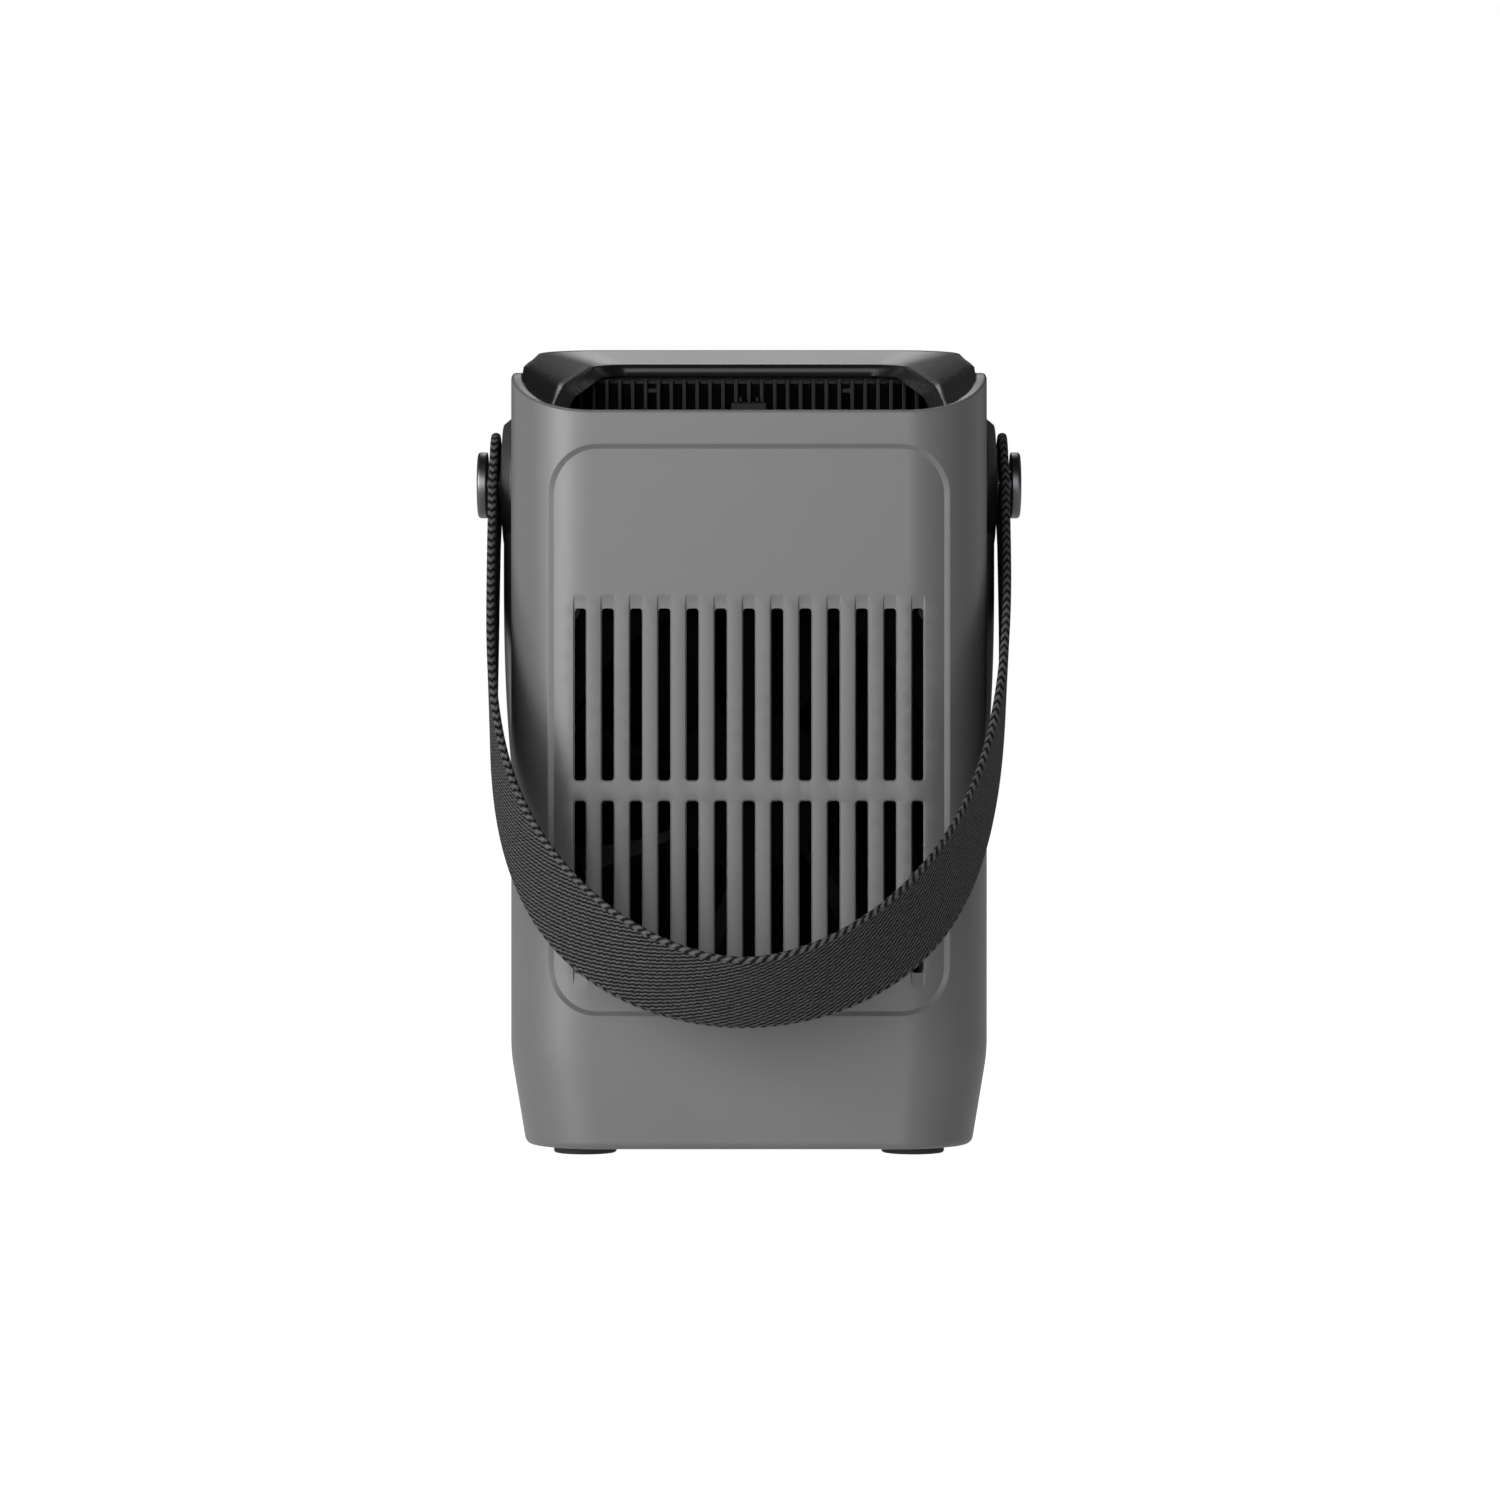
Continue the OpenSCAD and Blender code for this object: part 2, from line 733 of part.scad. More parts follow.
module board_screws() {
    color("silver") for (x = [-29.5, 29.5], z = [-14.5, 14.5]) {
        rod_y(x, panel_mid_z + z, board_front - 0.1, board_front + 6, 0.9);
        rod_y(x, panel_mid_z + z, board_front - 1.4, board_front, 2);
    }
}

module usb_port() {
    color("silver") difference() {
        translate([usb_x, 0, panel_mid_z])
            along_y(board_front + board_t, plate_out - 0.6) polygon(rounded(4.5, 1.6, 1.5));
        translate([usb_x, 0, panel_mid_z])
            along_y(board_front + board_t + 2, plate_out + 1) polygon(rounded(4.15, 1.25, 1.2));
    }
    color(black) translate([usb_x - 3.2, board_front + board_t + 1.9, panel_mid_z - 0.35])
        cube([6.4, 4.6, 0.7]);
}

module tact_switch() {
    color(black) translate([button_x - 3, board_front + board_t, panel_mid_z - 3]) cube([6, 1.8, 6]);
    color("ivory")
        rod_y(button_x, panel_mid_z, board_front + 3.3, plate_in - 2.3 - button_travel, 1.6);
}

module power_button() {
    color(black) {
        rod_y(button_x, panel_mid_z, plate_in - 2, plate_out + 0.5, button_d / 2);
        rod_y(button_x, panel_mid_z, plate_in - 1.9, plate_in - 0.3, button_d / 2 + 1.2);
    }
}

module control_panel() {
    color(black) difference() {
        translate([0, 0, panel_mid_z])
            along_y(plate_in, plate_out) polygon(rounded(plate_w / 2, plate_h / 2, 3.9));
        rod_y(button_x, panel_mid_z, plate_in - 1, plate_out + 1, button_d / 2 + 0.3);
        translate([usb_x, 0, panel_mid_z]) along_y(plate_in - 1, plate_out + 1)
            polygon(rounded(4.8, 1.9, 1.7));
        for (i = [0:3])
            rod_y(-3 + 3 * i, panel_mid_z, plate_in - 1, plate_out + 1, 0.8);
    }
}

module light_pipe() {
    color("white") {
        for (i = [0:3]) rod_y(-3 + 3 * i, panel_mid_z, plate_in - 1.6, plate_out, 0.75);
        translate([-4, plate_in - 2.8, panel_mid_z - 1.2]) cube([11, 1.4, 2.4]);
    }
}

// Dust filter behind the rear slots: a frame round a thin pad, on four stand-off posts
module intake_mesh() {
    half_x = 41;
    half_z = 22;
    rim = 2;
    frame_t = 1.2;
    pad_t = 0.7;
    mid = grille_z + (slot_gap + slot_len) / 2;
    y0 = half_d - wall - 2.2;
    color("dimgray") translate([0, y0, mid]) {
        difference() {
            translate([-half_x, 0, -half_z]) cube([2 * half_x, frame_t, 2 * half_z]);
            for (y = [-1, (frame_t + pad_t) / 2]) translate([rim - half_x, y, rim - half_z])
                cube([2 * (half_x - rim), 1 + (frame_t - pad_t) / 2, 2 * (half_z - rim)]);
        }
        for (x = [-34, 34], z = [1 - half_z, half_z - 1])
            rod_y(x, z, frame_t - tiny, half_d - wall - y0, 0.9);
    }
}

// ---------- leads clipped inside ----------

function smooth(p, per) = [
    for (i = [0:len(p) - 2], k = [0:per - 1])
        let (t = k / per, a = p[max(i - 1, 0)], b = p[i], c = p[i + 1], d = p[min(i + 2, len(p) - 1)])
            0.5 * (2 * b + (c - a) * t + (2 * a - 5 * b + 4 * c - d) * t * t
                + (3 * b - a - 3 * c + d) * t * t * t),
    p[len(p) - 1]
];

function unit(v) = v / norm(v);

module tube(path, r, sides = 8) {
    n = len(path);
    ahead = [for (i = [0:n - 1]) unit(path[min(i + 1, n - 1)] - path[max(i - 1, 0)])];
    polyhedron(
        points = [
            for (i = [0:n - 1])
                let (u = unit(cross(ahead[i], [0.37, 0.11, 0.92])), v = cross(ahead[i], u))
                    for (k = [0:sides - 1])
                        path[i] + r * (cos(360 * k / sides) * u + sin(360 * k / sides) * v)
        ],
        faces = concat(
            [[for (k = [0:sides - 1]) k]],
            [[for (k = [sides - 1:-1:0]) (n - 1) * sides + k]],
            [for (i = [0:n - 2], k = [0:sides - 1])
                let (a = i * sides + k, b = i * sides + (k + 1) % sides)
                    each [[a, a + sides, b], [b, a + sides, b + sides]]]));
}

fan_lead_route = [
    [20, -24, 40], [20, -22, 40], [20, -20, 40], [21, -15, 38], [24, -4, 35.5], [26, 10, 35],
    [25, 23, 35.5], [22, 31, 38], [20, 35, 43], [20, 37.6, 45], [20, 39.1, 45], [20, 40.6, 45]
];
battery_lead_route = [
    [-26, 12, 27.5], [-26, 13.5, 27.5], [-26, 15, 27.5], [-28, 21, 28.3], [-29, 27, 28.6],
    [-29, 31, 30], [-28, 33, 34], [-25, 35, 40], [-22, 36.5, 44.5], [-22, 37.6, 45.5],
    [-22, 39.1, 45.5], [-22, 40.6, 45.5]
];

module fan_lead() {
    color("black") tube(smooth(fan_lead_route, 4), 1.1);
}

module battery_lead() {
    color("firebrick") tube(smooth(battery_lead_route, 4), 1.2);
}

front_shell();
rear_shell();
base_plate();
top_collar();
louvre_frame();
louvre_grille();
louvre_comb();
louvre_latch();
louvre_screws();
side_rail(-1);  // side_rail_left
side_rail(1);  // side_rail_right
pivot_boss(-1);  // pivot_boss_left
pivot_boss(1);  // pivot_boss_right
washer(-1);  // washer_left
washer(1);  // washer_right
stud(-1);  // stud_left
stud(1);  // stud_right
stud_nut(-1);  // stud_nut_left
stud_nut(1);  // stud_nut_right
strap_webbing();
eyelet(-1);  // eyelet_left
eyelet(1);  // eyelet_right
foot(-foot_at, -foot_at);  // foot_front_left
foot(foot_at, -foot_at);  // foot_front_right
foot(-foot_at, foot_at);  // foot_rear_left
foot(foot_at, foot_at);  // foot_rear_right
foot(0, 0);  // foot_middle
fan_frame();
motor_bridge();
stator();
impeller();
rotor_yoke();
motor_shaft();
bearing(fan_front + 4);  // bearing_front
bearing(fan_front + 12.9);  // bearing_rear
fan_screws();
fan_grommets();
battery_cells();
cell_tray();
cell_strips();
battery_board();
bay_cover();
bay_screws();
main_board();
board_screws();
usb_port();
tact_switch();
power_button();
control_panel();
light_pipe();
intake_mesh();
base_screws();
fan_lead();
battery_lead();
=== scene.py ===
"""Looks of the compact box fan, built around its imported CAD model.

Lengths are in millimetres until a mesh is made, where MM turns them into metres. The camera, the
lights and the textures are in metres. The frame is the CAD's: +Z up, the front grille faces -Y, the
origin is the middle of the plane the feet stand on.
"""

import json
import math

import bmesh
import bpy
import numpy as np
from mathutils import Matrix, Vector
from mathutils.geometry import delaunay_2d_cdt


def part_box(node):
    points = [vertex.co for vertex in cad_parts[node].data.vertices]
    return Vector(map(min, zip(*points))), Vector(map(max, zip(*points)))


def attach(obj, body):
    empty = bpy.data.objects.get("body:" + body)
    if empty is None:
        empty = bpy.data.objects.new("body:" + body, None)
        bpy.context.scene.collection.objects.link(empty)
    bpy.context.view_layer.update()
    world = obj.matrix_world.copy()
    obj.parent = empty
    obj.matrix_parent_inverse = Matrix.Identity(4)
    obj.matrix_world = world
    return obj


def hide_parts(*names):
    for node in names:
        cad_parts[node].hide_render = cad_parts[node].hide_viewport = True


MM = 0.001
QUARTER = math.pi / 2
QUADRANTS = ((1, 1, 0), (-1, 1, 90), (-1, -1, 180), (1, -1, 270))  # two signs and a start angle

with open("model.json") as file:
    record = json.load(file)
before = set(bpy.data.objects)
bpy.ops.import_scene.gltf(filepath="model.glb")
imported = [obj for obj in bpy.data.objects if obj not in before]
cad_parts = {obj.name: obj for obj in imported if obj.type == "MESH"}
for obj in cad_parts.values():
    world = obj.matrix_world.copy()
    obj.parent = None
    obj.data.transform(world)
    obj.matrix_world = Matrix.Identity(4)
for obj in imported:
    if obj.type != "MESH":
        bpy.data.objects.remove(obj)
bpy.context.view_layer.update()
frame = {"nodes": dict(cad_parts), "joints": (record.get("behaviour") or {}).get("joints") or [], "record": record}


def corners(node):
    """Lowest and highest corner of a CAD node, in millimetres."""
    low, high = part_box(node)
    return np.array(low) / MM, np.array(high) / MM


def joint_at(name):
    """Where a joint's axis is, in millimetres."""
    joint = next(j for j in frame["joints"] if j["name"] == name)
    return np.array(joint["pos_m"]) / MM


# ---------- sizes ----------

FRONT_LOW, FRONT_HIGH = corners("front_shell")
HALF = FRONT_HIGH[0]  # half width and half depth of the housing
SHELL_Z = FRONT_LOW[2]
BACK_RIM = corners("rear_shell")[1][2]
SEAM_Y = FRONT_HIGH[1]  # the shells meet here, at the bottom of the groove between their edges
CORNER = 19.0
WALL = 2.5
LIP_Z = 170.2  # height of the rim at the front
SIDE_RIM = 180.4  # height of the rim where the front corners end
TAPER_IN = 3.5
TAPER_Z = 23.0
TAPER_BLEND = 6.0
REMAP_Z = 150.0  # rows above this height follow the rim
EDGE_R = 0.7
BOTTOM_R = 1.5
SEAM_R = 0.25
HOLE_R = 0.3

PANEL_HALF = 45.9
PANEL_LOW, PANEL_HIGH = 32.3, 162.5
PANEL_R = 11.5
PANEL_STEP = 1.2
PANEL_DEEP = 0.7
PANEL = (0, (PANEL_LOW + PANEL_HIGH) / 2, PANEL_HALF, (PANEL_HIGH - PANEL_LOW) / 2, PANEL_R)

SLOT_COLUMNS = 13
SLOT_PITCH = 6.42
SLOT_X = [(i - (SLOT_COLUMNS - 1) / 2) * SLOT_PITCH for i in range(SLOT_COLUMNS)]
SLOT_HALF = 1.4
SLOT_LEN = 39.2
SLOT_GAP = 4.6
SLOT_R = 0.75
SLOT_CUT = (SLOT_HALF - 0.02, SLOT_LEN / 2 - 0.02, SLOT_R)  # just inside the groove's inner edge
GRILLE_Z = joint_at("rotor_spin")[2]
GROOVE_LIP = 0.28
GROOVE_DEEP = 0.42
GROOVE_RUN = 3.2

PIVOT_Z = joint_at("loop_swing")[2]
FLAT = HALF - CORNER
ARC = CORNER * QUARTER
FACE_END = FLAT + ARC  # how far round from the front's middle its rounded corners end
SIDE_MID = FLAT + ARC + FLAT  # how far round the stud holes are


# ---------- nodes ----------

MATERIALS = {}


class Nodes:
    """A node tree, with short calls that add nodes to it and link them."""

    def __init__(self, owner):
        owner.use_nodes = True
        self.tree = owner.node_tree

    def add(self, kind):
        return self.tree.nodes.new("ShaderNode" + kind)

    def link(self, source, target):
        self.tree.links.new(source, target)

    def math(self, operation, a, b=None):
        node = self.add("Math")
        node.operation = operation
        for socket, item in zip(node.inputs, (a, b)):
            if isinstance(item, (int, float)):
                socket.default_value = item
            elif item is not None:
                self.link(item, socket)
        return node.outputs[0]

    def plus(self, a, b):
        return self.math("ADD", a, b)

    def minus(self, a, b):
        return self.math("SUBTRACT", a, b)

    def times(self, a, b):
        return self.math("MULTIPLY", a, b)

    def over(self, a, b):
        return self.math("DIVIDE", a, b)

    def split(self, vector):
        node = self.add("SeparateXYZ")
        self.link(vector, node.inputs[0])
        return node.outputs

    def spread(self, factor, low, high, start=0.0, stop=1.0, eased=False):
        """Maps start..stop to low..high."""
        node = self.add("MapRange")
        if eased:
            node.interpolation_type = "SMOOTHSTEP"
        values = {"From Min": start, "From Max": stop, "To Min": low, "To Max": high}
        for socket, value in values.items():
            node.inputs[socket].default_value = value
        self.link(factor, node.inputs["Value"])
        return node.outputs["Result"]


class Material(Nodes):
    """A new material under its name in MATERIALS, with a Principled shader."""

    def __init__(self, name):
        MATERIALS[name] = bpy.data.materials.new(name)
        super().__init__(MATERIALS[name])
        self.shader = self.tree.nodes["Principled BSDF"]
        self.coords = self.add("TexCoord")

    def value(self, socket, number):
        self.shader.inputs[socket].default_value = number

    def into(self, socket, source):
        self.link(source, self.shader.inputs[socket])

    def noise(self, scale, detail=2.0, stretch=None):
        node = self.add("TexNoise")
        node.inputs["Scale"].default_value = scale
        node.inputs["Detail"].default_value = detail
        source = self.coords.outputs["Object"]
        if stretch:
            mapping = self.add("Mapping")
            mapping.inputs["Scale"].default_value = stretch
            self.link(source, mapping.inputs["Vector"])
            source = mapping.outputs["Vector"]
        self.link(source, node.inputs["Vector"])
        return node.outputs["Fac"]

    def ramp(self, factor, low, high, stops=(0.0, 1.0)):
        node = self.add("ValToRGB")
        for element, position, color in zip(node.color_ramp.elements, stops, (low, high)):
            element.position = position
            element.color = (*color, 1)
        self.link(factor, node.inputs[0])
        return node.outputs["Color"]

    def bump(self, height, strength, distance):
        node = self.add("Bump")
        node.inputs["Strength"].default_value = strength
        node.inputs["Distance"].default_value = distance
        self.link(height, node.inputs["Height"])
        self.into("Normal", node.outputs["Normal"])


# ---------- camera, light and stage ----------


def make_camera():
    data = bpy.data.cameras.new("camera")
    data.sensor_width = 36.0
    data.lens = 107.76
    camera = bpy.data.objects.new("camera", data)
    camera.location = (0.00023, -1.075, 0.09285)
    camera.rotation_euler = (QUARTER, 0, 0)
    bpy.context.scene.collection.objects.link(camera)
    bpy.context.scene.camera = camera


def area_light(name, place, look_at, size, power):
    data = bpy.data.lights.new(name, "AREA")
    data.shape = "RECTANGLE"
    data.size, data.size_y = size
    data.energy = power
    light = bpy.data.objects.new(name, data)
    light.location = place
    aim = Vector(look_at) - Vector(place)
    light.rotation_euler = aim.to_track_quat("-Z", "Y").to_euler()
    light.visible_camera = False
    bpy.context.scene.collection.objects.link(light)


def make_lights():
    area_light("key", (-1.0, -1.1, 0.1), (0, 0, 0.08), (0.62, 1.5), 25.0)
    area_light("wide", (-1.25, -1.1, 0.3), (0, 0, 0.1), (1.9, 1.5), 19.0)
    area_light("front", (-0.15, -1.6, 0.1), (0, 0, 0.08), (0.8, 1.5), 15.0)
    area_light("over_back", (0.0, 1.0, 1.05), (0, 0, 0.15), (0.45, 0.5), 1.9)


def make_world():
    """Plain white to the camera. What the object reflects is dark, but for two glows behind it."""
    world = bpy.data.worlds.new("studio")
    bpy.context.scene.world = world
    n = Nodes(world)
    n.tree.nodes.clear()
    x, y, _ = n.split(n.add("TexCoord").outputs["Generated"])
    aside = n.math("ABSOLUTE", x)
    beside = n.spread(aside, 0.02, 1.0, 0.45, 0.85, eased=True)
    behind = n.spread(y, 0.0, 0.62, -0.1, 0.5, eased=True)
    off_axis = n.spread(aside, 0.1, 1.0, 0.14, 0.34, eased=True)
    least = 0.03
    glow = n.plus(n.times(beside, n.times(behind, off_axis)), least)

    lit, seen, mix = n.add("Background"), n.add("Background"), n.add("MixShader")
    n.link(glow, lit.inputs["Strength"])
    for background in (lit, seen):
        background.inputs["Color"].default_value = (1, 1, 1, 1)
    n.link(n.add("LightPath").outputs["Is Camera Ray"], mix.inputs[0])
    n.link(lit.outputs[0], mix.inputs[1])
    n.link(seen.outputs[0], mix.inputs[2])
    n.link(mix.outputs[0], n.add("OutputWorld").inputs[0])


def make_stage():
    """A large floor that looks white and throws only a little light back."""
    side = 6000
    floor = new_mesh("floor", [(sx * side, sy * side, 0) for sx, sy, _ in QUADRANTS], [(0, 1, 2, 3)])
    floor.location.z = -0.00005
    n = Material("floor")
    n.value("Base Color", (0.35, 0.35, 0.35, 1))
    n.value("Roughness", 0.9)
    n.value("Emission Color", (1, 1, 1, 1))
    seen = n.add("LightPath").outputs["Is Camera Ray"]
    n.into("Emission Strength", n.spread(seen, 0.5, 1.0))
    floor.data.materials.append(MATERIALS["floor"])


# ---------- materials ----------


def grey(value):
    return (value, value, value)


def tinted(color, amount):
    return tuple(min(1.0, c * amount) for c in color)


def moulded(name, color, rough, grain=2600.0, depth=0.00004, gloss=0.5):
    """Moulded plastic: a fine eroded grain, and slow changes of colour and gloss."""
    n = Material(name)
    n.value("Specular IOR Level", gloss)
    slow = n.noise(38.0, 3.0)
    n.into("Base Color", n.ramp(slow, tinted(color, 0.94), tinted(color, 1.06)))
    n.into("Roughness", n.spread(slow, rough - 0.03, rough + 0.03))
    n.bump(n.noise(grain), 0.5, depth)


def louvre_plastic_and_shade(name):
    """Louvre plastic darkened to near black as painted shade between the fins, smoother on the fins' front edges
    than on the wall behind them.
    """
    n = Material(name)
    edges_end, wall_starts = 0.034, 0.038
    y = n.split(n.coords.outputs["Object"])["Y"]
    n.into("Roughness", n.spread(y, 0.42, 0.85, edges_end, wall_starts))
    # near-black colour: the plastic's own black deepened into painted shade for the gaps between the fins
    n.into("Base Color", n.ramp(n.noise(200.0), grey(0.002), grey(0.0035)))
    n.value("Specular IOR Level", 0.15)


def metal(name, color, rough, stretch=(1, 1, 1)):
    """Bare or plated metal with fine turning or stamping lines."""
    n = Material(name)
    n.value("Metallic", 1.0)
    lines = n.noise(900.0, 3.0, stretch)
    n.into("Base Color", n.ramp(lines, tinted(color, 0.88), tinted(color, 1.1)))
    n.into("Roughness", n.spread(lines, rough - 0.06, rough + 0.08))
    n.bump(lines, 0.35, 0.00002)


def band_coordinates(n):
    """Millimetres along the webbing and across its face or edge."""
    uv = n.add("UVMap")
    uv.uv_map = "length_and_width"
    along, across, _ = n.split(uv.outputs[0])
    return along, across


def fibres(n, amount):
    """Fine fuzz, from -amount / 2 to amount / 2."""
    return n.times(n.minus(n.noise(2300.0, 3.0), 0.5), amount)


def woven(name):
    """Twill face of the webbing: leaning rows with a short dark dash between every two floats."""
    n = Material(name)
    along, across = band_coordinates(n)
    row_pitch, row_lean = 1.16, 0.5
    dash, dash_shift = 1.7, 0.618  # a dash's length, and how far the next row's are moved on
    swing, stray = 0.09, 0.3  # how far a row leaves its line, in rows
    swung = n.times(n.math("SINE", n.times(along, 2 * math.pi / dash)), swing)
    row = n.over(n.minus(across, n.times(along, row_lean)), row_pitch)
    row = n.plus(n.plus(row, swung), n.times(n.noise(600.0), stray))
    from_middle = n.times(n.math("ABSOLUTE", n.minus(n.math("FRACT", row), 0.5)), 2.0)
    gap = n.math("POWER", from_middle, 1.5)
    moved_on = n.times(n.math("FLOOR", row), dash_shift)
    step = n.math("FRACT", n.plus(n.over(along, dash), moved_on))
    dashes = n.plus(n.times(n.math("SINE", n.times(step, math.pi)), 0.45), 0.75)
    body = n.plus(n.minus(0.85, n.times(gap, dashes)), fibres(n, 1.1))
    n.into("Base Color", n.ramp(body, grey(0.001), (0.108, 0.108, 0.11), (0.3, 1.0)))
    n.value("Roughness", 0.75)
    n.value("Specular IOR Level", 0.12)
    n.bump(body, 0.9, 0.00025)


def braided(name):
    """Woven edge of the webbing: V shaped stitches one after another."""
    n = Material(name)
    along, through = band_coordinates(n)
    slant = n.times(n.math("ABSOLUTE", through), STITCH_SLANT)
    stitch = n.math("FRACT", n.over(n.minus(along, slant), STITCH_PITCH))
    bead = n.math("SINE", n.times(stitch, math.pi))
    body = n.plus(n.times(bead, 0.8), fibres(n, 0.9))
    n.into("Base Color", n.ramp(body, grey(0.001), (0.115, 0.115, 0.117), (0.3, 1.0)))
    n.value("Roughness", 0.7)
    n.value("Specular IOR Level", 0.15)
    n.bump(body, 0.7, 0.0003)


def clear_plastic(name):
    """Milky light pipe that lets light in under its surface."""
    n = Material(name)
    slow = n.noise(300.0)
    n.into("Base Color", n.ramp(slow, (0.72, 0.74, 0.76), (0.86, 0.88, 0.9)))
    n.into("Roughness", n.spread(slow, 0.25, 0.4))
    n.value("Subsurface Weight", 0.3)
    n.value("Subsurface Radius", grey(0.001))


def circuit_board(name):
    """Solder mask with faint tracks under it, its colours darkened as painted shade for the inside of the housing.
    """
    n = Material(name)
    brick = n.add("TexBrick")
    brick.inputs["Scale"].default_value = 160.0
    brick.inputs["Color1"].default_value = (0.004, 0.016, 0.009, 1)
    brick.inputs["Color2"].default_value = (0.003, 0.012, 0.007, 1)
    brick.inputs["Mortar"].default_value = (0.006, 0.024, 0.013, 1)
    n.link(n.coords.outputs["Object"], brick.inputs["Vector"])
    n.into("Base Color", brick.outputs["Color"])
    n.into("Roughness", n.spread(n.noise(120.0), 0.25, 0.4))


def wound_wire(name):
    """Enamelled copper, close turns."""
    n = Material(name)
    wave = n.add("TexWave")
    wave.inputs["Scale"].default_value = 900.0
    n.link(n.coords.outputs["Object"], wave.inputs["Vector"])
    turns = wave.outputs["Fac"]
    n.into("Base Color", n.ramp(turns, (0.2, 0.07, 0.02), (0.6, 0.27, 0.1)))
    n.value("Metallic", 0.8)
    n.value("Roughness", 0.35)
    n.bump(turns, 0.6, 0.0002)


def make_materials():
    moulded("shell_plastic", (0.105, 0.105, 0.106), 0.40, depth=0.00001)
    moulded("collar_plastic", (0.008, 0.008, 0.0082), 0.27, 2400.0, 0.00001, gloss=0.3)
    louvre_plastic_and_shade("louvre_plastic")
    moulded("side_plastic", (0.016, 0.016, 0.0165), 0.5, 1700.0, 0.00005)
    woven("webbing")
    braided("webbing_edge")
    metal("stud_metal", (0.14, 0.142, 0.15), 0.36, stretch=(1, 9, 9))
    metal("fixing_steel", (0.55, 0.55, 0.56), 0.3)
    moulded("foot_rubber", grey(0.018), 0.8, 1500.0, 0.0001)
    # the fan's parts are made far darker than black plastic: painted shade for the inside of the housing
    moulded("fan_plastic", grey(0.0012), 0.75, gloss=0.04)
    wound_wire("winding")
    moulded("cell_wrap", (0.03, 0.17, 0.17), 0.25, 300.0)
    circuit_board("board_green")
    metal("port_steel", (0.6, 0.6, 0.62), 0.25)
    moulded("button_plastic", (0.03, 0.03, 0.032), 0.35, 2200.0)
    clear_plastic("light_clear")
    moulded("mesh_dark", grey(0.004), 0.9, 1400.0, 0.0002, gloss=0.05)
    moulded("lead_black", grey(0.015), 0.5, 800.0)
    moulded("lead_red", (0.35, 0.02, 0.02), 0.45, 800.0)


# ---------- mesh helpers ----------


def new_mesh(name, points, faces):
    """A new piece in the scene, from points in millimetres."""
    mesh = bpy.data.meshes.new(name)
    metres = [tuple(float(c) * MM for c in p) for p in points]
    mesh.from_pydata(metres, [], [tuple(map(int, f)) for f in faces])
    mesh.update()
    piece = bpy.data.objects.new(name, mesh)
    bpy.context.scene.collection.objects.link(piece)
    return piece


def outward(piece):
    """Turns the faces of a closed piece outwards."""
    b = bmesh.new()
    b.from_mesh(piece.data)
    bmesh.ops.recalc_face_normals(b, faces=b.faces)
    b.to_mesh(piece.data)
    b.free()


def smooth(piece, angle=35.0):
    """Smooth shading that breaks at edges sharper than angle."""
    piece.data.shade_smooth()
    piece.data.set_sharp_from_angle(angle=math.radians(angle))


def bevelled(piece, width):
    modifier = piece.modifiers.new("rounded_edges", "BEVEL")
    modifier.width = width * MM
    modifier.segments = 3
    modifier.limit_method = "ANGLE"
    modifier.angle_limit = math.radians(30)
    modifier.harden_normals = True


def belongs(piece, body, slot, *nodes):
    """Gives a new piece the material named by a slot, puts it on a body and hides the CAD nodes it stands for."""
    piece.data.materials.append(MATERIALS[slot])
    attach(piece, body)
    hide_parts(*nodes)


def grid_faces(rows, columns, closed=False):
    """Quads between rows of points that are stored one row after another."""
    faces = []
    for r in range(rows - 1):
        for c in range(columns if closed else columns - 1):
            here, beside = r * columns + c, r * columns + (c + 1) % columns
            faces.append((here, beside, beside + columns, here + columns))
    return faces


def capped(rows, columns):
    """Faces of a tube whose rows of points are closed rings, with a face over each end."""
    faces = grid_faces(rows, columns, closed=True)
    faces.append(tuple(range(columns)))
    faces.append(tuple(range((rows - 1) * columns, rows * columns))[::-1])
    return faces


def rounded_polygon(points, radii, steps=5):
    """A closed 2-D outline with each corner rounded by its own radius."""
    out = []
    n = len(points)
    for i, radius in enumerate(radii):
        here = np.array(points[i], float)
        if radius <= 0:
            out.append(here)
            continue
        before = np.array(points[i - 1], float) - here
        after = np.array(points[(i + 1) % n], float) - here
        before /= np.linalg.norm(before)
        after /= np.linalg.norm(after)
        half = math.acos(np.clip(before @ after, -1, 1)) / 2
        reach = radius / math.tan(half)
        middle = here + (before + after) / np.linalg.norm(before + after) * radius / math.sin(half)
        first = here + before * reach - middle
        last = here + after * reach - middle
        sweep = math.pi - 2 * half
        for k in range(steps + 1):
            t = k / steps
            a = math.sin((1 - t) * sweep) / math.sin(sweep)
            b = math.sin(t * sweep) / math.sin(sweep)
            out.append(middle + a * first + b * last)
    return out


def lathed(name, profile, centre, axis, steps):
    """A turned piece. The profile is (radius, place along the axis); its ends lie on the axis."""
    order = {"x": (2, 0, 1), "z": (0, 1, 2)}[axis]

    def place(r, t, angle=0.0):
        local = (r * math.cos(angle), r * math.sin(angle), t)
        return tuple(centre[i] + local[order[i]] for i in range(3))

    body = profile[1:-1]
    turns = [2 * math.pi * k / steps for k in range(steps)]
    points = [place(r, t, angle) for r, t in body for angle in turns]
    faces = grid_faces(len(body), steps, closed=True)
    for (r, t), row in ((profile[0], 0), (profile[-1], len(body) - 1)):
        tip = len(points)
        points.append(place(r, t))
        faces += [(row * steps + k, row * steps + (k + 1) % steps, tip) for k in range(steps)]
    piece = new_mesh(name, points, faces)
    outward(piece)
    smooth(piece)
    return piece


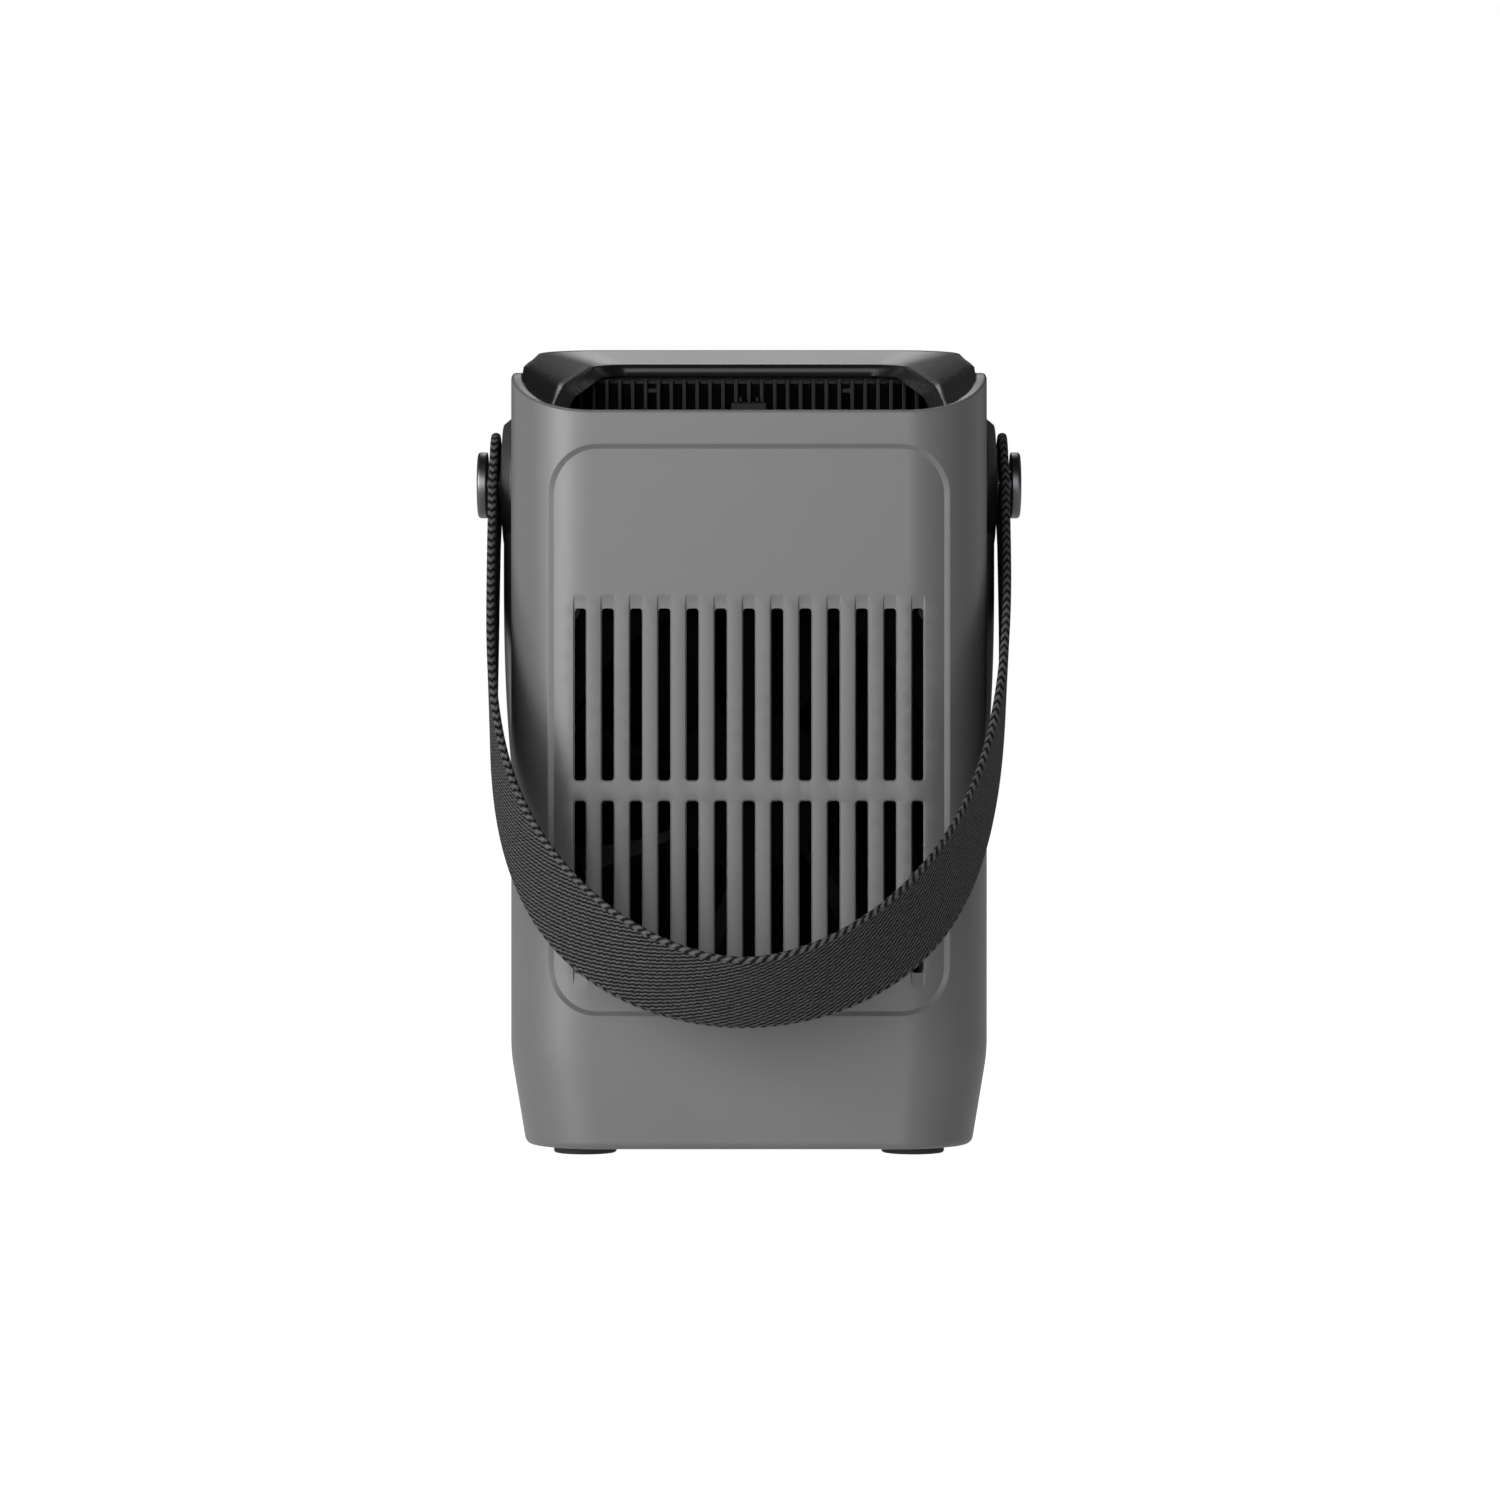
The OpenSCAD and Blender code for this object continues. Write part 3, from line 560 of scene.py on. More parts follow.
def through_corners(places, corner_steps, step=None, count=23):
    """A closed outline through four rounded corners (x, y, radius, start angle).

    Each straight side has points about step apart between its ends, or count points.
    """
    out = []
    for i, (cx, cy, r, start) in enumerate(places):
        for k in range(corner_steps + 1):
            a = math.radians(start + 90 * k / corner_steps)
            out.append((cx + r * math.cos(a), cy + r * math.sin(a)))
        nx, ny, nr, nstart = places[(i + 1) % 4]
        a = math.radians(nstart)
        target = (nx + nr * math.cos(a), ny + nr * math.sin(a))
        here = out[-1]
        if step:
            count = int(math.dist(here, target) // step)
        for k in range(1, count + 1):
            t = k / (count + 1)
            out.append((here[0] + (target[0] - here[0]) * t, here[1] + (target[1] - here[1]) * t))
    return np.array(out)


# ---------- housing outline ----------


def outline(s):
    """Place and outward direction on the outline, s mm round from the front's middle towards +X."""
    a = np.abs(s)
    side = 2 * FLAT
    turn1 = np.clip((a - FLAT) / CORNER, 0, QUARTER)
    turn2 = np.clip((a - FLAT - ARC - side) / CORNER, 0, QUARTER)
    x = np.minimum(a, FLAT) + CORNER * np.sin(turn1) - CORNER * (1 - np.cos(turn2))
    x = x - np.clip(a - FLAT - 2 * ARC - side, 0, None)
    y = -HALF + CORNER * (1 - np.cos(turn1)) + np.clip(a - FLAT - ARC, 0, side) + CORNER * np.sin(turn2)
    turn = turn1 + turn2
    sign = np.where(s < 0, -1.0, 1.0)
    return sign * x, y, sign * np.sin(turn), -np.cos(turn)


def rim_height(y):
    """Height of the rim: steep round the front corners, then a slow rise to the back."""
    front = LIP_Z + (SIDE_RIM - LIP_Z) * (y + HALF) / CORNER
    back = SIDE_RIM + (BACK_RIM - SIDE_RIM) * (y + HALF - CORNER) / (2 * HALF - CORNER)
    blend = 1.6  # softens the bend between the two
    return (front + back - np.sqrt((front - back) ** 2 + blend**2)) / 2


def lean(z):
    """Share of its full width that the housing has at a height."""
    below = TAPER_Z - z
    bend = (below + TAPER_BLEND / 2) ** 2 / (2 * TAPER_BLEND)
    soft = np.where(below > TAPER_BLEND / 2, below, np.where(below < -TAPER_BLEND / 2, 0, bend))
    return 1 - TAPER_IN * soft / (TAPER_Z - SHELL_Z) / HALF


def rounded_box(x, z, cx, cz, hx, hz, r):
    """Signed distance to a rounded rectangle; below 0 inside."""
    qx = np.abs(x - cx) - (hx - r)
    qz = np.abs(z - cz) - (hz - r)
    return np.hypot(np.maximum(qx, 0), np.maximum(qz, 0)) + np.minimum(np.maximum(qx, qz), 0) - r


def ease(t):
    """A smooth step from 0 to 1."""
    t = np.clip(t, 0, 1)
    return t * t * (3 - 2 * t)


def flank(t):
    """A straight slope from 0 to 1 with a little rounding at both ends."""
    soft = 0.12
    t = np.clip(t, 0, 1)
    rise = 1 / (1 - soft)
    low = rise * t * t / (2 * soft)
    high = 1 - rise * (1 - t) ** 2 / (2 * soft)
    return np.where(t < soft, low, np.where(t > 1 - soft, high, rise * (t - soft / 2)))


def rounding(e, r):
    """How far a surface has curled in at a distance e from an edge of radius r."""
    inside = np.clip(r - e, 0, r)
    return r - np.sqrt(np.maximum(r * r - inside * inside, 0))


def around(x):
    """Distance round the outline to a point on the front or its corners, from its x."""
    over = np.clip((np.abs(x) - FLAT) / CORNER, 0, 1)
    return np.sign(x) * np.where(np.abs(x) <= FLAT, np.abs(x), FLAT + CORNER * np.arcsin(over))


def spaced(start, stop, step):
    """Evenly spaced values about step apart, both ends included."""
    return list(np.linspace(start, stop, max(2, int(round(abs(stop - start) / step)) + 1)))


def groove_box(cx, row):
    """Middle and half sizes of the groove round a slot, run-out included."""
    mid, above, below = row
    high = mid + SLOT_LEN / 2 + GROOVE_LIP + (GROOVE_RUN if above else 0)
    low = mid - SLOT_LEN / 2 - GROOVE_LIP - (GROOVE_RUN if below else 0)
    return cx, (low + high) / 2, SLOT_HALF + GROOVE_LIP, (high - low) / 2


class Face:
    """One shell of the housing, unrolled to (s, w): s runs round it and w follows the rim upwards."""

    def __init__(self, back, half_length, rows, holes):
        self.back = back
        self.half = half_length
        self.rows = rows  # (middle height, has a run-out above, has one below) of each row of slots
        self.holes = holes  # rounded rectangles (s, z, half s, half z, r) that are plain holes

    def place(self, s):
        x, y, nx, ny = outline(s)
        return (x, -y, nx, -ny) if self.back else (x, y, nx, ny)

    def top(self, s):
        return rim_height(self.place(s)[1])

    def stretch(self, s):
        """How much taller the part above REMAP_Z is here than at the front lip."""
        return (self.top(s) - REMAP_Z) / (LIP_Z - REMAP_Z)

    def height(self, s, w):
        return np.where(w <= REMAP_Z, w, REMAP_Z + (w - REMAP_Z) * self.stretch(s))

    def row_at(self, s, z):
        return np.where(z <= REMAP_Z, z, REMAP_Z + (z - REMAP_Z) / self.stretch(s))

    def groove_depth(self, x, z, row):
        """Depth of one row's grooves, which fade out along their run-outs."""
        mid, above, below = row
        side_columns = SLOT_COLUMNS // 2
        column = np.clip(np.round(x / SLOT_PITCH), -side_columns, side_columns) * SLOT_PITCH
        lip = rounded_box(x, z, *groove_box(column, row), SLOT_R + GROOVE_LIP)
        beyond = np.abs(z - mid) - SLOT_LEN / 2
        runs = np.where(z > mid, above, below)
        share = np.where(runs, 1 - ease(beyond / (GROOVE_RUN + GROOVE_LIP)), 1.0)
        near = np.abs(z - mid) < SLOT_LEN
        return np.where(near, GROOVE_DEEP * share * ease(-lip / GROOVE_LIP), 0.0)

    def depth(self, s, z):
        """How far the outer surface lies inside the plain outline."""
        x = self.place(s)[0]
        inset = PANEL_DEEP * flank(-rounded_box(x, z, *PANEL) / PANEL_STEP)
        for row in self.rows:
            inset = inset + self.groove_depth(x, z, row)
        inset = np.where(np.abs(s) < FACE_END, inset, 0.0)
        for hs, hz, hx, hh, r in self.holes:
            inset = inset + rounding(rounded_box(s, z, hs, hz, hx, hh, r), HOLE_R)
        inset = inset + rounding(self.top(s) - z, EDGE_R) + rounding(z - SHELL_Z, BOTTOM_R)
        return inset + rounding(self.half - np.abs(s), SEAM_R)

    def surface(self, s, w):
        """Points of the outer surface, as an array with one row per point."""
        z = self.height(s, w)
        x, y, nx, ny = self.place(s)
        inset = self.depth(s, z)
        return np.stack([(x - nx * inset) * lean(z), y - ny * inset, z], axis=-1)

    def inner_surface(self, s, w):
        """Points of the inner surface. Behind the panel they lie straight behind the outer ones."""
        edge_r = 0.5
        straight_to, blend = 43.0, 8.0
        z = self.height(s, w)
        x, y, nx, ny = self.place(s)
        inset = WALL - rounding(self.top(s) - z, edge_r) - rounding(z - SHELL_Z, edge_r)
        straight = (1 - ease((np.abs(x) - straight_to) / blend)) * (np.abs(s) < FACE_END)
        across = (x - nx * inset) * (1 - straight) + x * straight
        over = np.clip(np.abs(across) - FLAT, 0, CORNER - inset)
        facing = np.sign(ny) * (HALF - CORNER + np.sqrt((CORNER - inset) ** 2 - over**2))
        return np.stack([across * lean(z), np.where(straight > 0, facing, y - ny * inset), z], axis=-1)

    def normals(self, s, w):
        """Directions square to the outer surface, by small steps along s and w."""
        step = 0.02
        low_s, high_s = (np.clip(s + d, -self.half, self.half) for d in (-step, step))
        low_w, high_w = (np.clip(w + d, SHELL_Z, LIP_Z) for d in (-step, step))
        along = self.surface(high_s, w) - self.surface(low_s, w)
        up = self.surface(s, high_w) - self.surface(s, low_w)
        n = np.cross(up, along) if self.back else np.cross(along, up)
        return n / np.linalg.norm(n, axis=-1, keepdims=True)


def grid_lines(face):
    """Where the plain grid's columns and rows are: closer together where the surface bends."""
    s = spaced(0, FLAT, 4) + spaced(FLAT, FACE_END, 1.25)
    s += spaced(FACE_END, face.half - 0.35, 4)
    s += [face.half - f for f in (0.0, 0.02, 0.06, 0.12, 0.2, 0.3)]
    w = [SHELL_Z + BOTTOM_R * f for f in (0, 0.03, 0.1, 0.2, 0.35, 0.55, 0.8, 1.1)]
    w += spaced(SHELL_Z + 2.6, TAPER_Z + 4, 1.5) + spaced(TAPER_Z + 8, LIP_Z - 3, 5)
    w += [LIP_Z - EDGE_R * f for f in (2.2, 1.1, 0.8, 0.5, 0.3, 0.15, 0.05, 0)]
    return sorted(set(s) | {-v for v in s}), w


def feature_loops(face):
    """Closed chains of points (s, z) for the mesh to follow: the panel's step, grooves and holes."""

    def ring(cx, cz, hx, hz, r, step, corner_steps=6):
        places = [(cx + sx * (hx - r), cz + sz * (hz - r), r, a) for sx, sz, a in QUADRANTS]
        return through_corners(places, corner_steps, step).T

    on_front = []
    cx, cz, hx, hz, r = PANEL
    for f in (0, 0.04, 0.12, 0.4, 0.7, 0.88, 0.96, 1):
        inset = f * PANEL_STEP
        on_front.append(ring(cx, cz, hx - inset, hz - inset, r - inset, 2.5, 14))
    for row in face.rows:
        for column in SLOT_X:
            gx, gz, hx, hz = groove_box(column, row)
            for f in (0, 0.25, 0.5, 0.75, 0.97):
                inset = f * GROOVE_LIP
                on_front.append(ring(gx, gz, hx - inset, hz - inset, SLOT_R + GROOVE_LIP - inset, 2.8))
            on_front.append(ring(column, row[0], *SLOT_CUT, 2.8))
    loops = [(around(x), z) for x, z in on_front]
    for hs, hz, hx, hh, r in face.holes:
        for grow in (HOLE_R, 0.2, 0.1, 0.04, 0):
            loops.append(ring(hs, hz, hx + grow, hh + grow, r + grow, 2.5, 10))
    return loops


def clear_of_features(face, s, z):
    """Which grid points are far enough from every loop to be kept."""
    x = face.place(s)[0]
    panel = rounded_box(x, z, *PANEL)
    near = (panel < 0.5) & (panel > -PANEL_STEP - 0.5)
    for row in face.rows:
        for column in SLOT_X:
            near |= rounded_box(x, z, *groove_box(column, row), SLOT_R) < 0.4
    keep = ~(near & (np.abs(s) < FACE_END))
    for hs, hz, hx, hh, r in face.holes:
        keep &= rounded_box(s, z, hs, hz, hx, hh, r) > 0.8
    return keep


def in_a_hole(face, s, z):
    x = face.place(s)[0]
    found = np.zeros(len(s), bool)
    for row in face.rows:
        for column in SLOT_X:
            found |= rounded_box(x, z, column, row[0], *SLOT_CUT) < 0
    found &= np.abs(s) < FACE_END
    for hs, hz, hx, hh, r in face.holes:
        found |= rounded_box(s, z, hs, hz, hx, hh, r) < 0
    return found


def flat_mesh(face):
    """The shell unrolled: points (s, w) and triangles between them, with its openings cut out."""
    columns, rows = grid_lines(face)
    s, w = [a.ravel() for a in np.meshgrid(columns, rows)]
    bottom, top = w == rows[0], w == rows[-1]
    left, right = s == columns[0], s == columns[-1]
    keep = clear_of_features(face, s, face.height(s, w)) | bottom | top | left | right
    number = np.cumsum(keep) - 1
    points = list(zip(s[keep].tolist(), w[keep].tolist()))
    edges = []
    bottom, top, left, right = (number[side].tolist() for side in (bottom, top, left, right))
    for chain in (bottom, right, top[::-1], left[::-1]):
        edges += zip(chain, chain[1:])
    for s, z in feature_loops(face):
        start = len(points)
        points += zip(s.tolist(), face.row_at(s, z).tolist())
        edges += [(start + i, start + (i + 1) % len(s)) for i in range(len(s))]
    made, _, faces, _, _, _ = delaunay_2d_cdt(points, edges, [], 1, 1e-6)
    flat = np.array([tuple(p) for p in made])
    tri = np.array([f for f in faces if len(f) == 3])
    s, w = flat[tri].mean(axis=1).T
    used, tri = np.unique(tri[~in_a_hole(face, s, face.height(s, w))], return_inverse=True)
    return flat[used], tri.reshape(-1, 3)


def shell_piece(name, face):
    """Outer and inner skins of a shell, joined round every edge and hole."""
    flat, tri = flat_mesh(face)
    if face.back:
        tri = tri[:, ::-1]
    s, w = flat.T
    total = len(flat)
    directed = np.concatenate([tri[:, [0, 1]], tri[:, [1, 2]], tri[:, [2, 0]]])
    present = set(map(tuple, directed.tolist()))
    rim = sorted((a, b) for a, b in present if (b, a) not in present)
    skin = [tuple(t) for t in tri.tolist()]
    lining = [(c + total, b + total, a + total) for a, b, c in skin]
    walls = [(b, a, a + total, b + total) for a, b in rim]
    points = np.concatenate([face.surface(s, w), face.inner_surface(s, w)])
    piece = new_mesh(name, points, skin + lining + walls)
    smooth(piece, 30)
    custom = np.zeros((len(piece.data.loops), 3))  # zero keeps a corner's own normal
    custom[: tri.size] = face.normals(s, w)[tri.ravel()]
    piece.data.normals_split_custom_set(custom.tolist())
    return piece


# ---------- housing pieces ----------


def make_shells():
    upper = (GRILLE_Z + (SLOT_GAP + SLOT_LEN) / 2, True, False)
    lower = (GRILLE_Z - (SLOT_GAP + SLOT_LEN) / 2, False, True)
    stud_hole = 3.6
    hole = (PIVOT_Z, stud_hole, stud_hole, stud_hole - 0.001)
    front = Face(False, SIDE_MID + SEAM_Y, [upper, lower], [(-SIDE_MID, *hole), (SIDE_MID, *hole)])
    belongs(shell_piece("shell_front", front), "housing", "shell_plastic", "front_shell")

    low, high = corners("control_panel")
    fit = 0.15  # gap round the control panel
    opening = (0, (low[2] + high[2]) / 2, high[0] + fit, (high[2] - low[2]) / 2 + fit, 4.0)
    intake = (upper[0], True, True)
    rear = Face(True, SIDE_MID - SEAM_Y, [intake], [opening])
    belongs(shell_piece("shell_rear", rear), "housing", "shell_plastic", "rear_shell")


def make_base():
    """Base plate, set inside the shell's tapered foot, with a shallow tray line round it."""
    low, high = corners("base_plate")
    gap = WALL + 0.25
    tray, edge_r = 0.7, 0.35
    profile = [  # distance in from the plate's edge, and height
        (6.0, low[2] + tray),
        (5.4, low[2] + tray),
        (5.0, low[2]),
        (edge_r, low[2]),
        (0.0, low[2] + edge_r),
        (0.0, high[2]),
    ]
    s = np.array(spaced(-SIDE_MID, SIDE_MID, 1.5)[:-1])
    x, y, nx, ny = outline(s)
    rings = []
    for inset, z in profile:
        across = (x - nx * (gap + inset)) * lean(max(z, SHELL_Z))
        front = np.column_stack([across, y - ny * (gap + inset), np.full(len(s), z)])
        rings += [front, front * (-1, -1, 1)]
    piece = new_mesh("base_cover", np.concatenate(rings), capped(len(profile), 2 * len(s)))
    outward(piece)
    smooth(piece, 40)
    belongs(piece, "housing", "shell_plastic", "base_plate")


def make_feet():
    """Turned feet with a shallow dish in the underside."""
    names = ["foot_front_left", "foot_front_right", "foot_rear_left", "foot_rear_right", "foot_middle"]
    dish = 0.25
    for node in names:
        low, high = corners(node)
        centre = ((low[0] + high[0]) / 2, (low[1] + high[1]) / 2, low[2])
        radius = (high[0] - low[0]) / 2
        tall = high[2] - low[2]
        profile = [(0, dish), (2.6, dish), (2.9, 0), (radius, 0), (radius, tall), (0, tall)]
        profile = rounded_polygon(profile, [0, 0.2, 0.2, 0.6, 0.1, 0])
        belongs(lathed(node + "_pad", profile, centre, "z", 56), "housing", "foot_rubber", node)


# ---------- air collar ----------

COLLAR_GAP = 0.03
UNDER_LIP = 1.2
COLLAR_MID, COLLAR_SLOPE = 186.1, 0.135  # height in the middle and rise per mm of Y
MOUTH_MID, MOUTH_SLOPE = 181.5, 0.174
MOUTH_BACK = (38.5, 40.5, 8.0)  # half width, place in Y, corner radius
MOUTH_FRONT = (44.8, -51.0, 19.0)
COLLAR_STEPS = 24  # of each corner


def under_lip(y):
    return LIP_Z + (SIDE_RIM - LIP_Z) / CORNER * (y + HALF) - UNDER_LIP


def collar_outline(inset):
    r = CORNER - WALL - COLLAR_GAP
    c = HALF - WALL - COLLAR_GAP - r
    return through_corners([(sx * c, sy * c, r - inset, a) for sx, sy, a in QUADRANTS], COLLAR_STEPS)


def mouth_outline(grow):
    places = []
    for sx, sy, start in QUADRANTS:
        half, y, r = MOUTH_BACK if sy > 0 else MOUTH_FRONT
        places.append((sx * (half - r), y - sy * r, r + grow, start))
    return through_corners(places, COLLAR_STEPS)


def make_collar():
    """Sloping collar: a skirt inside the rim, a sloping face, a rounded edge and the mouth's wall."""
    edge_round, mouth_round = 0.8, 1.4
    skirt, wall_deep, thick = 9.0, 3.0, 1.8
    foot_round = 0.3
    drawn_in = (0.955, 1.0)  # the wall's foot is narrower than its top
    sharpest = 0.15  # share of its rounding that the edge keeps under the front lip
    lowest = 5.0  # the mouth's front edge lies this far below the lip
    rings = []

    def add(plan, z):
        rings.append(np.column_stack([plan, z]))

    outer = collar_outline(0)
    share = sharpest + (1 - sharpest) * ease((outer[:, 1:] + 15) / 30)
    outer_z = np.minimum(COLLAR_MID + COLLAR_SLOPE * outer[:, 1], under_lip(outer[:, 1]))
    mouth = mouth_outline(0)
    dive = lowest * ease((-mouth[:, 1] - 12) / 32)
    mouth_z = np.minimum(MOUTH_MID + MOUTH_SLOPE * mouth[:, 1], under_lip(mouth[:, 1])) - dive
    add(outer, outer_z - skirt)
    for t in (0.0, 0.2, 0.4, 0.6, 0.8, 1.0):
        a = t * QUARTER
        start = outer + (collar_outline(edge_round * (1 - math.cos(a))) - outer) * share
        add(start, outer_z - edge_round * (1 - math.sin(a)) * share[:, 0])
    finish, finish_z = mouth_outline(mouth_round), mouth_z + mouth_round * 0.25
    for t in (0.08, 0.2, 0.35, 0.5, 0.65, 0.8, 0.92):
        add(start * (1 - t) + finish * t, outer_z * (1 - t) + finish_z * t)
    for t in (0.0, 0.25, 0.5, 0.75, 1.0):
        a = t * QUARTER
        add(mouth_outline(mouth_round * (1 - math.sin(a))), finish_z - mouth_round * (1 - math.cos(a)))
    foot_z = mouth_z - wall_deep
    add(mouth * drawn_in, foot_z + foot_round)
    add(mouth_outline(foot_round) * drawn_in, foot_z)
    under, back = mouth_outline(thick), collar_outline(thick)
    add(under, foot_z)
    add(under * 0.5 + back * 0.5, (foot_z + outer_z - 1.5 - thick) / 2)
    add(back, outer_z - thick - 1.0)
    add(back, outer_z - skirt)
    count = len(outer)
    faces = grid_faces(len(rings), count, closed=True)
    last = (len(rings) - 1) * count
    faces += [(last + k, last + (k + 1) % count, (k + 1) % count, k) for k in range(count)]
    piece = new_mesh("air_collar", np.concatenate(rings), faces)
    outward(piece)
    smooth(piece, 50)
    belongs(piece, "housing", "collar_plastic", "top_collar")


# ---------- side mounts ----------


def sideways(name, profile, side):
    """A piece turned about the pivot axis, from a profile of (radius, distance from the middle)."""
    return lathed(name, [(r, side * t) for r, t in profile], (0, 0, PIVOT_Z), "x", 96)


def make_side_mounts():
    for side, label in ((-1, "left"), (1, "right")):
        low, high = corners("pivot_boss_" + label)
        out = max(abs(low[0]), abs(high[0]))
        radius = (high[2] - low[2]) / 2
        start, chamfer, chamfer_start = HALF - 0.6, 1.9, HALF + 1.3
        profile = [(0, start), (radius, start), (radius, chamfer_start), (radius - chamfer, out), (0, out)]
        piece = sideways("pivot_disc_" + label, rounded_polygon(profile, [0, 0, 0.9, 0.6, 0]), side)
        belongs(piece, "housing", "side_plastic", "pivot_boss_" + label)
        make_rail(side, label, radius)
        make_stud(side, label)


def make_rail(side, label, boss_radius):
    """Rail under the boss: a low pad on the housing's side that thickens upwards."""
    low, high = corners("side_rail_" + label)
    half = (high[1] - low[1]) / 2
    thick = max(abs(low[0]), abs(high[0])) - HALF
    bottom = low[2]
    edge, corner = 1.4, 4.0  # rounding of the pad's outer edge and of its lower corners
    least, growth, power = 0.14, 55.0, 2.4  # how its thickness grows over its first 55 mm
    across = {sign * (half - f) for sign in (-1, 1) for f in (0, 0.1, 0.3, 0.6, 1.0, edge)}
    across = sorted(across | set(spaced(-half, half, 1.5)))
    along = [0, 0.004, 0.012, 0.025, 0.05, 0.08, *spaced(0.12, 1, 0.04)]
    points = []
    for t in along:
        for y in across:
            top = PIVOT_Z - math.sqrt((boss_radius - 0.4) ** 2 - y * y)
            into_corner = max(0.0, abs(y) - half + corner)
            foot = bottom + corner - math.sqrt(max(0.0, corner**2 - into_corner**2))
            z = foot + (top - foot) * t
            grown = 1 - (1 - min(1.0, (z - bottom) / growth)) ** power
            rise = thick * (least + (1 - least) * grown)
            from_edge = min(half - abs(y), z - foot)
            if from_edge < edge:
                rise -= rise * rounding(from_edge, edge) / edge
            points.append((side * (HALF + rise), y, z))
    rows, columns = len(along), len(across)
    base = len(points)
    points += [(side * (HALF - 0.5), y, z) for _, y, z in points]
    faces = grid_faces(rows, columns)
    faces += [tuple(base + i for i in f)[::-1] for f in faces]
    ring = list(range(columns))
    ring += [r * columns + columns - 1 for r in range(1, rows)]
    ring += [(rows - 1) * columns + c for c in range(columns - 2, -1, -1)]
    ring += [r * columns for r in range(rows - 2, 0, -1)]
    faces += [(a, b, base + b, base + a) for a, b in zip(ring, ring[1:] + ring[:1])]
    piece = new_mesh("rail_" + label, points, faces)
    outward(piece)
    smooth(piece, 50)
    belongs(piece, "housing", "side_plastic", "side_rail_" + label)


def make_stud(side, label):
    """Turned stud: a shaft through the loop and a chamfered head with a shallow dish."""
    low, high = corners("stud_" + label)
    inner, out = sorted((abs(low[0]), abs(high[0])))
    radius = (high[2] - low[2]) / 2
    head, shaft, dish = out - 2.3, 3.5, out - 0.35
    profile = [
        (0, inner), (shaft, inner), (shaft, head), (radius, head),
        (radius, out), (radius - 2.2, out), (radius - 2.8, dish), (0, dish),
    ]
    profile = rounded_polygon(profile, [0, 0.3, 0, 0.35, 0.75, 0.3, 0.3, 0], 6)
    piece = sideways("stud_head_" + label, profile, side)
    belongs(piece, "housing", "stud_metal", "stud_" + label)


# ---------- carrying loop ----------

STRAP_LEAN = math.radians(40.0)
STRAP_W = 25.0
STRAP_T = 2.1
STRAP_MID = corners("strap_webbing")[1][0] - STRAP_T / 2
STRAP_REACH = 151.7
STRAP_STRAIGHT = 9.0
STRAP_SIDE_POWER = 1.825
STRAP_END_POWER = 4.077
STRAP_DRAW_IN = 3.0
STRAP_TWIST = math.radians(11.7)
STRAP_SWAY = 1.05  # the loop hangs a little to the left below its upper third
STRAP_WORN = 0.3  # share of its thickness that it loses round the bottom
STITCH_PITCH = 2.4
STITCH_SLANT = 1.25
STITCH_DEEP = 0.13


def strap_line(step):
    """Middle line of the webbing in its own plane, stud to stud, with its twist and the run."""
    turns = QUARTER * np.linspace(0, 1, 3000) ** 2
    reach = np.sin(turns) ** (2 / STRAP_END_POWER)
    side = np.maximum(np.cos(turns), 0) ** (2 / STRAP_SIDE_POWER)
    across = (STRAP_MID - STRAP_DRAW_IN * reach) * side
    down = STRAP_STRAIGHT + (STRAP_REACH - STRAP_STRAIGHT) * reach
    curve = np.column_stack([across, down, STRAP_TWIST * np.sin(2 * turns) ** 2])
    start = [(STRAP_MID, v, 0) for v in spaced(-STRAP_W / 2, STRAP_STRAIGHT, step)[:-1]]
    half = np.concatenate([np.array(start), curve])
    dense = np.concatenate([half, (half[:-1] * [-1, 1, 1])[::-1]])
    run = np.concatenate([[0], np.cumsum(np.linalg.norm(np.diff(dense[:, :2], axis=0), axis=1))])
    at = np.linspace(0, run[-1], int(run[-1] / step))
    return np.column_stack([np.interp(at, run, dense[:, k]) for k in range(3)]), at


def strap_section(half_w):
    """Closed outline of the webbing: (across, through, is an edge), with round braided edges."""
    r = STRAP_T / 2
    flat = half_w - r
    steps = 10
    out = []
    for sign in (1, -1):
        for k in range(steps + 1):
            out.append((sign * flat * (1 - 2 * k / steps), sign * r * 0.92, False))
        for k in range(1, 8):
            a = sign * QUARTER + math.pi * k / 8
            out.append((1.05 * r * math.cos(a) - sign * flat, r * math.sin(a), True))
    return out


